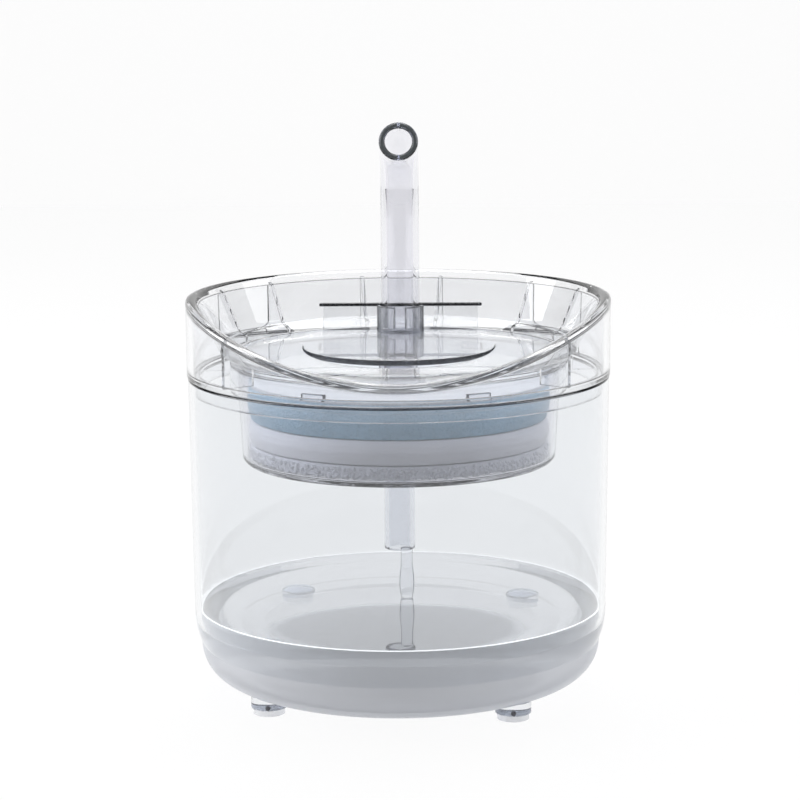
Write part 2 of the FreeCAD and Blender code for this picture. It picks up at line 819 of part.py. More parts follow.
half_width = math.degrees(size("lug_width") / 2 / size("basket_top_radius"))
for angle in LUG_ANGLES:
    lugs.append(sector(size("basket_top_radius") - size("basket_wall"),
                       size("basket_top_radius") + size("lug_reach"), size("lug_level"),
                       size("lug_height"), angle - half_width, 2 * half_width))
OUTPUT["filter_basket"] = feature_from("basket", basket.Shape.fuse(lugs).removeSplitter())


def layer(label, bottom, top):
    """A round filter layer with a middle hole for the basket's sleeve."""
    gap = size("layer_clearance")
    outside = size("basket_bottom_radius") - size("basket_wall") - gap
    disc = Part.makeCylinder(outside, top - bottom, App.Vector(0, 0, bottom))
    hole = Part.makeCylinder(size("sleeve_out") + gap, top - bottom, App.Vector(0, 0, bottom))
    return feature_from(label, disc.cut(hole))


for name in ("granules", "cotton", "sponge"):
    OUTPUT["filter_" + name] = layer(name, size(name + "_bottom"), size(name + "_top"))

# The shallow water in the tank, and the thin stream that falls into it.
surface = doc.addObject("Part::Cylinder", "water_disc")
surface.setExpression("Radius", bound("tank_radius"))
surface.setExpression("Height", bound("water_level"))
pool = doc.addObject("Part::Common", "pool_water")
pool.Base = surface
pool.Tool = inside
doc.recompute()
OUTPUT["water_pool"] = pool

stream = doc.addObject("Part::Cylinder", "stream_water")
stream.setExpression("Radius", bound("stream_radius"))
stream.setExpression("Height", bound("riser_bottom - water_level - seam_gap"))
stream.setExpression("Placement.Base.x", bound("stream_shift"))
stream.setExpression("Placement.Base.z", bound("water_level + seam_gap"))
doc.recompute()
OUTPUT["water_stream"] = stream

# Every piece goes out as one closed solid under its node's name.
doc.recompute()
for item in doc.Objects:
    if "Invalid" in item.State or "Error" in item.State:
        raise RuntimeError(item.Name + " failed: " + str(item.State))
os.makedirs("parts", exist_ok=True)
for old in os.listdir("parts"):
    if old.endswith(".step"):
        os.remove(os.path.join("parts", old))
for node, item in OUTPUT.items():
    item.Label = node
    shape = item.Shape
    if shape.isNull() or not shape.isValid():
        raise RuntimeError(node + " is not a valid shape")
    if len(shape.Solids) != 1:
        raise RuntimeError(node + " is not one solid")
    box = shape.BoundBox
    print("%-18s volume %9.0f  x %6.1f..%5.1f y %6.1f..%5.1f z %6.1f..%5.1f" % (
        node, shape.Volume, box.XMin, box.XMax, box.YMin, box.YMax, box.ZMin, box.ZMax))
    shape.exportStep("parts/" + node + ".step")
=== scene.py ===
import math

import bmesh
import bpy
from bpy.props import FloatProperty, FloatVectorProperty, IntProperty, PointerProperty
from mathutils import Matrix, Vector


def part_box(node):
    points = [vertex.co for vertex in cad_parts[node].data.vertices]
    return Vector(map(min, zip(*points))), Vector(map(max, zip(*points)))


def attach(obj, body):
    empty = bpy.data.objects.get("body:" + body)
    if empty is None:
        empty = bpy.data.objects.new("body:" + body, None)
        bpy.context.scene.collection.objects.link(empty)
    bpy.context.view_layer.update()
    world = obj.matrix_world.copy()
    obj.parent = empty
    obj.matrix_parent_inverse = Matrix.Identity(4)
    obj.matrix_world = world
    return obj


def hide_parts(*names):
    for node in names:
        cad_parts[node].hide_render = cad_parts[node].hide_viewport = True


bl_info = {
    "name": "Clear pet water fountain",
    "version": (1, 0, 0),
    "blender": (4, 5, 0),
    "location": "View3D > Sidebar > Fountain",
    "description": "Dresses the packed fountain: clear mouldings, filter layers and water",
    "category": "Object",
}

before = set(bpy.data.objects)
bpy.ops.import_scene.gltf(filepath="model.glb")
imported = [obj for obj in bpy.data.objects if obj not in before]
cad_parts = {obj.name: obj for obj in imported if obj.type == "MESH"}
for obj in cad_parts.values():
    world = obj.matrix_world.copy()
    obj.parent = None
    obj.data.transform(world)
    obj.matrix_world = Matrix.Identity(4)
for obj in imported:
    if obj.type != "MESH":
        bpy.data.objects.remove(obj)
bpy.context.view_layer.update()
MM = 0.001


def span(node):
    """A CAD node's lowest and highest corners in millimetres."""
    low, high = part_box(node)
    return low / MM, high / MM


# Driving sizes in millimetres, read from the frame.
TANK_HIGH = span("tank")[1]
COLLAR_LOW, COLLAR_HIGH = span("collar")
PLATE_LOW, PLATE_HIGH = span("cover_plate")
RISER_LOW, RISER_HIGH = span("riser_pipe")
SPOUT_LOW = span("spout_tube")[0]
BASKET_LOW, BASKET_HIGH = span("filter_basket")
SPONGE_LOW, SPONGE_HIGH = span("filter_sponge")
COTTON_LOW, COTTON_HIGH = span("filter_cotton")
GRANULES_LOW, GRANULES_HIGH = span("filter_granules")
POOL_LOW, POOL_HIGH = span("water_pool")
STREAM_LOW, STREAM_HIGH = span("water_stream")
FEET = ("foot_front_left", "foot_front_right", "foot_rear_left", "foot_rear_right")

# Sizes in millimetres that several pieces share.
SEAM = 124.0  # height where the collar meets the tank
MOUTH = PLATE_LOW.z + 2.4  # height of the collar's mouth round the plate
PLATE_TOP = PLATE_LOW.z + 2.2  # upper face of the drinking plate
RIM_TURN = 8.0  # how far behind the middle the rim starts to dip
RIM_INNER = 76.5  # radius of the rim's inner edge
LEDGE_RADIUS = 68.5  # radius where the funnel meets the flat ledge
SOCKET_PLACE = (0.0, 48.5)  # middle of the spout's socket
SOCKET_BORE = 7.9  # radius of the socket's bore
SOCKET_WALL = 1.5
BOSS_RADIUS = 6.8  # radius of the moulded bosses over the feet


class FountainSizes(bpy.types.PropertyGroup):
    """Sizes of the clear mouldings that the frame's boxes don't give."""

    tank_wall: FloatProperty(name="Tank wall", default=2.2, unit="NONE",
                             description="Wall of the tank, in millimetres")
    tank_draft: FloatProperty(name="Tank draft", default=0.7,
                              description="How far the tank narrows to its foot, in millimetres")
    tank_floor: FloatProperty(name="Tank floor", default=2.4,
                              description="Thickness of the tank's floor, in millimetres")
    tank_underside: FloatProperty(name="Tank underside", default=4.0,
                                  description="Height of the tank's underside, in millimetres")
    tank_corner: FloatProperty(name="Tank corner", default=29.0,
                               description="Radius of the bottom corner, in millimetres")
    rim_dip: FloatProperty(name="Rim dip", default=21.5,
                           description="How far the rim dips in front, in millimetres")
    rim_power: FloatProperty(name="Rim curve", default=2.16,
                             description="How late the rim's dip sets in")
    granule_count: IntProperty(name="Granules", default=3200,
                               description="Granules in the bag under the cotton")


class FountainFinish(bpy.types.PropertyGroup):
    """Colours of the pieces."""

    plastic: FloatVectorProperty(name="Clear plastic", subtype="COLOR", size=3,
                                 default=(0.925, 0.925, 0.95), min=0, max=1,
                                 description="Tint that the clear mouldings give to light")
    sponge: FloatVectorProperty(name="Sponge", subtype="COLOR", size=3,
                                default=(0.33, 0.51, 0.64), min=0, max=1,
                                description="Blue of the foam layer")
    cotton: FloatVectorProperty(name="Cotton", subtype="COLOR", size=3,
                                default=(0.80, 0.81, 0.85), min=0, max=1,
                                description="Grey-white of the fibre layer")
    water: FloatVectorProperty(name="Water", subtype="COLOR", size=3,
                               default=(0.68, 0.695, 0.73), min=0, max=1,
                               description="Haze of the shallow water")


def sizes():
    """The fountain's sizes that can be set."""
    return bpy.context.scene.fountain_sizes


def finish():
    """The fountain's colours that can be set."""
    return bpy.context.scene.fountain_finish


# Mesh helpers. Profiles are lists of (radius, height) in millimetres.


def rounded(points, radii, steps=5, closed=True):
    """A polyline with each corner replaced by an arc of its own radius."""
    count = len(points)
    out = []
    for i, point in enumerate(points):
        radius = radii[i]
        inner = closed or 0 < i < count - 1
        if radius <= 0 or not inner:
            out.append(Vector(point))
            continue
        here = Vector(point)
        before = (Vector(points[i - 1]) - here)
        after = (Vector(points[(i + 1) % count]) - here)
        angle = before.angle(after)
        cut = min(radius / math.tan(angle / 2), before.length * 0.48, after.length * 0.48)
        real = cut * math.tan(angle / 2)
        start = here + before.normalized() * cut
        end = here + after.normalized() * cut
        middle = (before.normalized() + after.normalized()).normalized()
        centre = here + middle * math.hypot(real, cut)
        first = start - centre
        last = end - centre
        turn = first.angle(last) if first.length > 1e-9 else 0.0
        side = 1.0 if first.x * last.y - first.y * last.x > 0 else -1.0
        for k in range(steps + 1):
            a = side * turn * k / steps
            arm = Vector((first.x * math.cos(a) - first.y * math.sin(a),
                          first.x * math.sin(a) + first.y * math.cos(a)))
            out.append(centre + arm)
    return out


def show(name, data):
    """Puts a new object for the data into the scene."""
    made = bpy.data.objects.new(name, data)
    bpy.context.scene.collection.objects.link(made)
    return made


def finish_mesh(name, bm):
    """Closes a bmesh into an object at the origin, in metres, shaded smooth."""
    bmesh.ops.remove_doubles(bm, verts=bm.verts, dist=1e-4)
    bmesh.ops.recalc_face_normals(bm, faces=bm.faces)
    bmesh.ops.scale(bm, vec=(MM, MM, MM), verts=bm.verts)
    mesh = bpy.data.meshes.new(name)
    bm.to_mesh(mesh)
    bm.free()
    mesh.shade_smooth()
    return show(name, mesh)


def plain_mesh(obj):
    """The mesh that an object's curve or modifiers give; the object itself goes."""
    bpy.context.view_layer.update()
    mesh = bpy.data.meshes.new_from_object(
        obj.evaluated_get(bpy.context.evaluated_depsgraph_get()))
    bpy.data.objects.remove(obj)
    return mesh


def even_shading(obj):
    """Broad faces keep their own direction beside small rounded edges."""
    weighted = obj.modifiers.new("Even shading", "WEIGHTED_NORMAL")
    weighted.weight = 100
    weighted.keep_sharp = True
    return obj


def add_turned(bm, section, count=192, centre=(0.0, 0.0), start=0.0, sweep=360.0):
    """Adds a turned closed section. section(angle) gives the points at that bearing."""
    whole = sweep >= 359.9
    rings = []
    for i in range(count if whole else count + 1):
        bearing = math.radians(start + sweep * i / count)
        c, s = math.cos(bearing), math.sin(bearing)
        rings.append([bm.verts.new((centre[0] + p[0] * c, centre[1] + p[0] * s, p[1]))
                      for p in section(bearing)])
    size = len(rings[0])
    last = len(rings) if whole else len(rings) - 1
    for i in range(last):
        a, b = rings[i], rings[(i + 1) % len(rings)]
        for k in range(size):
            corners = [a[k], b[k], b[(k + 1) % size], a[(k + 1) % size]]
            if (corners[0].co - corners[1].co).length < 1e-7:
                corners.pop(1)
            if (corners[-1].co - corners[-2].co).length < 1e-7:
                corners.pop(-2)
            if len(corners) > 2:
                bm.faces.new(corners)
    if not whole:
        bm.faces.new(rings[0])
        bm.faces.new(rings[-1][::-1])


def turned(name, points, count=192, centre=(0.0, 0.0)):
    """A whole turned piece with one section all round."""
    bm = bmesh.new()
    add_turned(bm, lambda bearing: points, count, centre)
    return finish_mesh(name, bm)


def tube_section(bore, outside, low, high, edge):
    """Section of a plain tube with rounded rims."""
    corners = [(bore, low), (outside, low), (outside, high), (bore, high)]
    return rounded(corners, [edge] * 4)


def join(target, *others):
    """Puts the meshes of others into target; each stays a closed shell of its own."""
    bm = bmesh.new()
    bm.from_mesh(target.data)
    for other in others:
        bm.from_mesh(other.data)
        bpy.data.objects.remove(other)
    bm.to_mesh(target.data)
    bm.free()
    return target


def rounded_block(name, low, high, edge):
    """A block between two corners with rounded edges."""
    bm = bmesh.new()
    bmesh.ops.create_cube(bm, size=1.0)
    for vert in bm.verts:
        for axis in range(3):
            middle = (low[axis] + high[axis]) / 2
            vert.co[axis] = middle + vert.co[axis] * (high[axis] - low[axis])
    bmesh.ops.bevel(bm, geom=bm.edges[:], offset=edge, segments=3, profile=0.5,
                    affect="EDGES")
    return finish_mesh(name, bm)


def flat_piece(name, loops, low, high, edge):
    """A sheet of even thickness with holes: the first loop is its outline."""
    curve = bpy.data.curves.new(name, "CURVE")
    curve.dimensions = "2D"
    curve.fill_mode = "BOTH"
    curve.extrude = (high - low) / 2 - edge
    curve.bevel_depth = edge
    curve.bevel_resolution = 2
    curve.offset = -edge
    for loop in loops:
        spline = curve.splines.new("POLY")
        spline.points.add(len(loop) - 1)
        for point, place in zip(spline.points, loop):
            point.co = (place[0], place[1], 0, 1)
        spline.use_cyclic_u = True
    mesh = plain_mesh(show(name, curve))
    bm = bmesh.new()
    bm.from_mesh(mesh)
    bpy.data.meshes.remove(mesh)
    bmesh.ops.translate(bm, vec=(0, 0, (low + high) / 2), verts=bm.verts)
    return finish_mesh(name, bm)


def circle(radius, centre=(0.0, 0.0), count=64, start=0.0, sweep=360.0):
    """Points on a circle, or on an arc of it."""
    steps = count if sweep >= 359.9 else count + 1
    return [(centre[0] + radius * math.cos(math.radians(start + sweep * i / count)),
             centre[1] + radius * math.sin(math.radians(start + sweep * i / count)))
            for i in range(steps)]


# Shader helpers.


class Socket:
    """A shader value; arithmetic on it adds Math nodes."""

    def __init__(self, nodes, output):
        self.nodes = nodes
        self.output = output

    def math(self, operation, other=None, swap=False):
        """One Math node on this value, or on this value and another."""
        pair = [self, other] if other is not None else [self]
        if swap:
            pair.reverse()
        return self.nodes.add("ShaderNodeMath", {"operation": operation}, pair)

    def __add__(self, other):
        return self.math("ADD", other)

    def __radd__(self, other):
        return self.math("ADD", other)

    def __sub__(self, other):
        return self.math("SUBTRACT", other)

    def __rsub__(self, other):
        return self.math("SUBTRACT", other, swap=True)

    def __mul__(self, other):
        return self.math("MULTIPLY", other)

    def __rmul__(self, other):
        return self.math("MULTIPLY", other)

    def __truediv__(self, other):
        return self.math("DIVIDE", other)

    def __rtruediv__(self, other):
        return self.math("DIVIDE", other, swap=True)

    def __pow__(self, other):
        return self.math("POWER", other)

    def __lt__(self, other):
        return self.math("LESS_THAN", other)


class Tree:
    """A node tree, filled one node at a time."""

    def __init__(self, tree):
        self.tree = tree
        tree.nodes.clear()

    def add(self, kind, settings=None, inputs=None, output=0):
        """Makes a node and gives one of its outputs; inputs go by name or by number."""
        node = self.tree.nodes.new(kind)
        for key, value in (settings or {}).items():
            setattr(node, key, value)
        pairs = inputs.items() if isinstance(inputs, dict) else enumerate(inputs or [])
        for key, value in pairs:
            if isinstance(value, Socket):
                self.tree.links.new(value.output, node.inputs[key])
            else:
                node.inputs[key].default_value = value
        return Socket(self, node.outputs[output]) if len(node.outputs) else None


class Nodes(Tree):
    """A material's node tree."""

    def __init__(self, name):
        self.material = bpy.data.materials.new(name)
        self.material.use_nodes = True
        super().__init__(self.material.node_tree)

    def place(self, scale=(1.0, 1.0, 1.0)):
        """Object coordinates, stretched by scale."""
        where = self.add("ShaderNodeTexCoord", output=3)
        return self.add("ShaderNodeMapping", {}, {"Vector": where, "Scale": scale})

    def height(self):
        """Height over the floor in metres."""
        where = self.add("ShaderNodeTexCoord", output=3)
        return self.add("ShaderNodeSeparateXYZ", {}, [where], output=2)

    def rise(self, low, high):
        """0 under low and 1 over high, both in millimetres, with a soft step between."""
        return self.add("ShaderNodeMapRange", {"interpolation_type": "SMOOTHSTEP"},
                        {"Value": self.height(), "From Min": low * MM, "From Max": high * MM})

    def patch(self, centre, reach, soft):
        """1 inside an ellipse on the floor plan, in millimetres, with a soft wavy edge."""
        where = self.add("ShaderNodeTexCoord", output=3)
        parts = [self.add("ShaderNodeSeparateXYZ", {}, [where], output=axis) for axis in (0, 1)]
        away = sum(((part - middle * MM) / (half * MM)) ** 2.0
                   for part, middle, half in zip(parts, centre, reach))
        away = away.math("SQRT") + self.noise(30.0) * soft
        return self.add("ShaderNodeMapRange", {"interpolation_type": "SMOOTHSTEP"},
                        {"Value": away, "From Min": 1.0 + soft, "From Max": 1.0 - soft / 2})

    def noise(self, scale, detail=3.0, stretch=(1.0, 1.0, 1.0), roughness=0.5):
        """Soft uneven values from 0 to 1."""
        return self.add("ShaderNodeTexNoise", {},
                        {"Vector": self.place(stretch), "Scale": scale, "Detail": detail,
                         "Roughness": roughness})

    def blend(self, share, first, second):
        """A colour between two, by share."""
        ends = [value if isinstance(value, Socket) else (*value, 1.0)
                for value in (first, second)]
        return self.add("ShaderNodeMix", {"data_type": "RGBA"},
                        {0: share, 6: ends[0], 7: ends[1]}, output=2)

    def bump(self, height, strength, distance=0.0002):
        """A normal for fine relief, with its distance in metres."""
        return self.add("ShaderNodeBump", {},
                        {"Height": height, "Strength": strength, "Distance": distance})

    def principled(self, **values):
        """The Principled shader; a word's underscore stands for a space."""
        named = {key.replace("_", " "): value for key, value in values.items()}
        return self.add("ShaderNodeBsdfPrincipled", {}, named)

    def shadowed(self, shader, tint):
        """Ends a clear material: shadow rays pass straight through, with a tint."""
        through = self.add("ShaderNodeBsdfTransparent", {}, {"Color": (*tint, 1.0)})
        shadow_ray = self.add("ShaderNodeLightPath", output=1)
        return self.out(self.add("ShaderNodeMixShader", {}, [shadow_ray, shader, through]))

    def out(self, shader):
        """Joins the shader to the output and gives the material."""
        self.add("ShaderNodeOutputMaterial", {}, {"Surface": shader})
        return self.material


def shade(colour, factor):
    """A colour made lighter or darker."""
    return tuple(min(1.0, channel * factor) for channel in colour)


def clear_plastic(name, tint, index=1.49, smooth=0.015, haze=0.0, shadow=0.9):
    """Clear moulded plastic with a faint uneven tint; it lets most light through to the floor."""
    nodes = Nodes(name)
    uneven = nodes.noise(9.0)
    colour = nodes.blend(uneven, shade(tint, 0.985), shade(tint, 1.015))
    glass = nodes.principled(Base_Color=colour, Roughness=nodes.noise(30.0) * smooth,
                             IOR=index, Transmission_Weight=1.0)
    if haze:
        milk = nodes.principled(Base_Color=nodes.blend(uneven, (0.82, 0.83, 0.85),
                                                       (0.90, 0.91, 0.93)), Roughness=0.4)
        glass = nodes.add("ShaderNodeMixShader", {}, [nodes.noise(14.0) * 2 * haze, glass, milk])
    return nodes.shadowed(glass, shade(tint, shadow / max(tint)))


def hazy_water(name, tint, haze, painted_shade_haze):
    """Shallow water: hazy where it meets the wall, darker towards the bottom with painted shade,
    and clear from above down to a bed with a soft patch of painted shade.
    """
    nodes = Nodes(name)
    low, high = POOL_LOW.z, POOL_HIGH.z
    cloud = nodes.noise(22.0, 4.0, (1.0, 1.0, 0.5))
    colour = nodes.blend(cloud, shade(tint, 0.95), shade(tint, 1.05))
    # painted shade: the water's colour darkens towards the bottom, against the light from the
    # floor below
    colour = nodes.blend(nodes.rise(low, high), shade(tint, 0.84), colour)
    inward = nodes.add("ShaderNodeNewGeometry", output=6)
    wall = (1.0 - inward) * (1.0 - nodes.rise(high - 0.5, high - 0.1))
    # painted shade: a soft darker disc on the bed, where the tank's floor lies in shade
    bed = inward * (1.0 - nodes.rise(low + 0.4, low + 1.6)) * nodes.patch(
        centre=(0.0, -15.0), reach=(50.0, 36.0), soft=0.16)
    colour = nodes.blend(bed, colour, shade(tint, 0.45))
    glass = nodes.principled(Base_Color=(0.93, 0.935, 0.95, 1.0), Roughness=0.02, IOR=1.33,
                             Transmission_Weight=1.0)
    milk = nodes.principled(Base_Color=colour, Roughness=0.35, IOR=1.33)
    body = nodes.add("ShaderNodeMixShader", {}, [wall * haze + bed * painted_shade_haze, glass, milk])
    grazing = nodes.add("ShaderNodeLayerWeight", {}, {"Blend": 0.5}, output=1)
    surface = (1.0 - inward) * nodes.rise(high - 0.3, high - 0.1)
    gleam = nodes.add("ShaderNodeBsdfGlossy", {}, {"Color": (0.95, 0.95, 0.96, 1.0),
                                                   "Roughness": 0.03})
    gleam_share = surface * grazing ** 2.0 * 0.6
    body = nodes.add("ShaderNodeMixShader", {}, [gleam_share, body, gleam])
    return nodes.shadowed(body, (0.9, 0.9, 0.92))


def foam(name, colour, skin_height):
    """Open-celled foam: round pores darkened with painted shade over a soft mottled blue, and a
    pale felt skin on top.
    """
    nodes = Nodes(name)
    pores = nodes.add("ShaderNodeTexVoronoi", {},
                      {"Vector": nodes.place(), "Scale": 900.0})
    mottle = nodes.noise(60.0, 5.0)
    base = nodes.blend(mottle, shade(colour, 0.82), shade(colour, 1.2))
    # painted shade: the pores are darkened where shade falls in them
    base = nodes.blend((pores < 0.28) * 0.5, base, shade(colour, 0.6))
    skin = nodes.rise(skin_height - 0.8, skin_height)
    base = nodes.blend(skin, base, (0.62, 0.64, 0.66))
    return nodes.out(nodes.principled(Base_Color=base, Roughness=0.95,
                                      Normal=nodes.bump(pores, 0.6, 0.0004)))


def fibre(name, colour):
    """Matted fibres: fine streaks that run round the layer."""
    nodes = Nodes(name)
    strands = nodes.noise(140.0, 6.0, (1.0, 1.0, 5.0), 0.7)
    cloud = nodes.noise(35.0, 3.0)
    base = nodes.blend(cloud, shade(colour, 0.88), shade(colour, 1.12))
    base = nodes.blend(strands * 0.4, base, shade(colour, 1.3))
    return nodes.out(nodes.principled(Base_Color=base, Roughness=0.95,
                                      Normal=nodes.bump(strands, 0.7, 0.0005)))


def plain(name, colour, roughness=0.5, scale=200.0):
    """A moulded or mineral surface with a faint mottle."""
    nodes = Nodes(name)
    mottle = nodes.noise(scale, 4.0)
    base = nodes.blend(mottle, shade(colour, 0.8), shade(colour, 1.2))
    return nodes.out(nodes.principled(Base_Color=base, Roughness=roughness,
                                      Normal=nodes.bump(mottle, 0.15)))


def painted_gleam(name):
    """A painted highlight that glows along the line where the water climbs the wall."""
    nodes = Nodes(name)
    light = nodes.blend(nodes.noise(60.0), (0.9, 0.91, 0.92), (1.0, 1.0, 1.0))
    return nodes.out(nodes.principled(Base_Color=light, Roughness=0.2, Emission_Color=light,
                                      Emission_Strength=0.8))


def dress(obj, material, body=None, nodes=()):
    """Gives an object its material, its body and the CAD nodes it stands for."""
    obj.data.materials.clear()
    obj.data.materials.append(material)
    if body:
        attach(obj, body)
    if nodes:
        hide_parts(*nodes)
    return obj


def dress_node(name, material):
    """Gives a CAD node that stays as it is a better material."""
    dress(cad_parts[name], material)


def paint_edge_shade(obj, chosen):
    """Paints shade on the chosen edges of a clear moulding: they get the dark edge plastic.
    chosen(centre, normal).
    """
    obj.data.materials.append(plastic("edge"))
    for face in obj.data.polygons:
        if chosen(face.center / MM, face.normal):
            face.material_index = 1
    return obj


CLEAR_PLASTICS = {}


def plastic(kind):
    """The clear plastics, made once each: tint, refraction, roughness and haze."""
    if kind not in CLEAR_PLASTICS:
        tint, index, smooth, haze = {
            "tank": ((0.895, 0.908, 0.922), 1.49, 0.02, 0.0),
            "collar": ((0.96, 0.965, 0.975), 1.49, 0.015, 0.0),
            "plate": ((0.98, 0.985, 0.99), 1.49, 0.015, 0.08),
            "spout": ((0.90, 0.90, 0.93), 1.49, 0.01, 0.0),
            "riser": ((0.86, 0.87, 0.90), 1.49, 0.02, 0.0),
            "duct": ((0.92, 0.92, 0.95), 1.49, 0.02, 0.0),
            "basket": (shade(finish().plastic, 0.98), 1.49, 0.03, 0.0),
            "foot": ((0.93, 0.93, 0.95), 1.45, 0.08, 0.45),
            "seal": ((0.80, 0.82, 0.86), 1.42, 0.10, 0.1),
            # painted shade: the near-black plastic for the dark edges of the clear mouldings
            "edge": ((0.05, 0.053, 0.06), 1.49, 0.02, 0.0),
        }[kind]
        CLEAR_PLASTICS[kind] = clear_plastic("clear_" + kind, tint, index, smooth, haze)
    return CLEAR_PLASTICS[kind]


class FOUNTAIN_OT_tank(bpy.types.Operator):
    """Makes the clear tank with its round bottom corner and foot bosses"""

    bl_idname = "fountain.tank"
    bl_label = "Tank"

    def execute(self, context):
        tank = turned("tank_clear", self.section(), 256)
        places = [self.place(node) for node in FEET]
        join(tank, *(self.boss(place) for place in places))
        even_shading(tank)
        dress(tank, plastic("tank"), "base", ["tank"])
        # painted shade: the outer half of the tank's upper edge is made dark
        paint_edge_shade(tank, self.upper_edge)
        # painted shade: dark plugs stand for the shade in the front bosses' blind holes
        hole_shades = [self.boss_hole(place) for place in places[:2]]
        dress(join(*hole_shades), plain("boss_hole_shadow", (0.08, 0.08, 0.09), 0.6), "base")
        for node in FEET:
            dress_node(node, plastic("foot"))
        return {"FINISHED"}

    def section(self):
        """The wall from the middle of the underside, up over the rim and back inside."""
        s = sizes()
        outside, top, floor = TANK_HIGH.x, TANK_HIGH.z, s.tank_underside
        foot = outside - s.tank_draft
        rim_edge = 0.7
        corners = [(0.0, floor), (foot, floor), (outside, top), (outside - s.tank_wall, top),
                   (foot - s.tank_wall, floor + s.tank_floor), (0.0, floor + s.tank_floor)]
        radii = [0, s.tank_corner, rim_edge, rim_edge, s.tank_corner - s.tank_wall, 0]
        rim_steps, corner_steps = 5, 24
        return (rounded(corners[:3], radii[:3], corner_steps, closed=False)[:-1]
                + rounded(corners[1:5], radii[1:5], rim_steps, closed=False)[1:-1]
                + rounded(corners[3:], radii[3:], corner_steps, closed=False)[1:])

    def place(self, node):
        """The middle of a foot's upper face."""
        low, high = span(node)
        return Vector(((low.x + high.x) / 2, (low.y + high.y) / 2, high.z))

    def boss(self, place):
        """A moulded boss over a foot, taller where the tank's bottom corner rises."""
        flat_radius, corner_rise, overlap = 50.0, 0.12, 1.8
        rise = max(0.0, place.xy.length - flat_radius) * corner_rise
        crown = sizes().tank_underside + overlap + rise
        return turned("boss", rounded(
            [(0.0, place.z), (BOSS_RADIUS, place.z), (BOSS_RADIUS, crown), (0.0, crown)],
            [0, 0.5, 0.3, 0], closed=False), 64, place.xy)

    def boss_hole(self, place):
        """A small dark plug of painted shade that stands for the blind hole in the front of a
        boss.
        """
        radius, deep, up, back = 0.9, 1.4, 1.2, 1.1
        middle = Vector((place.x, place.y - BOSS_RADIUS + back, place.z + up))
        bm = bmesh.new()
        bmesh.ops.create_cone(bm, cap_ends=True, segments=24, radius1=radius, radius2=radius,
                              depth=deep, matrix=Matrix.Translation(middle)
                              @ Matrix.Rotation(math.pi / 2, 4, "X"))
        return finish_mesh("boss_hole_shades", bm)

    def upper_edge(self, centre, normal):
        """True on the outer half of the tank's upper edge."""
        tall, wide = 0.6, 0.7
        return centre.z > TANK_HIGH.z - tall and centre.xy.length > TANK_HIGH.x - wide


def dip(y):
    """Share of the rim's dip at a place, 0 at the back and about 1 in front."""
    if y >= RIM_TURN:
        return 0.0
    return min(((RIM_TURN - y) / (RIM_TURN + RIM_INNER)) ** sizes().rim_power, 1.05)


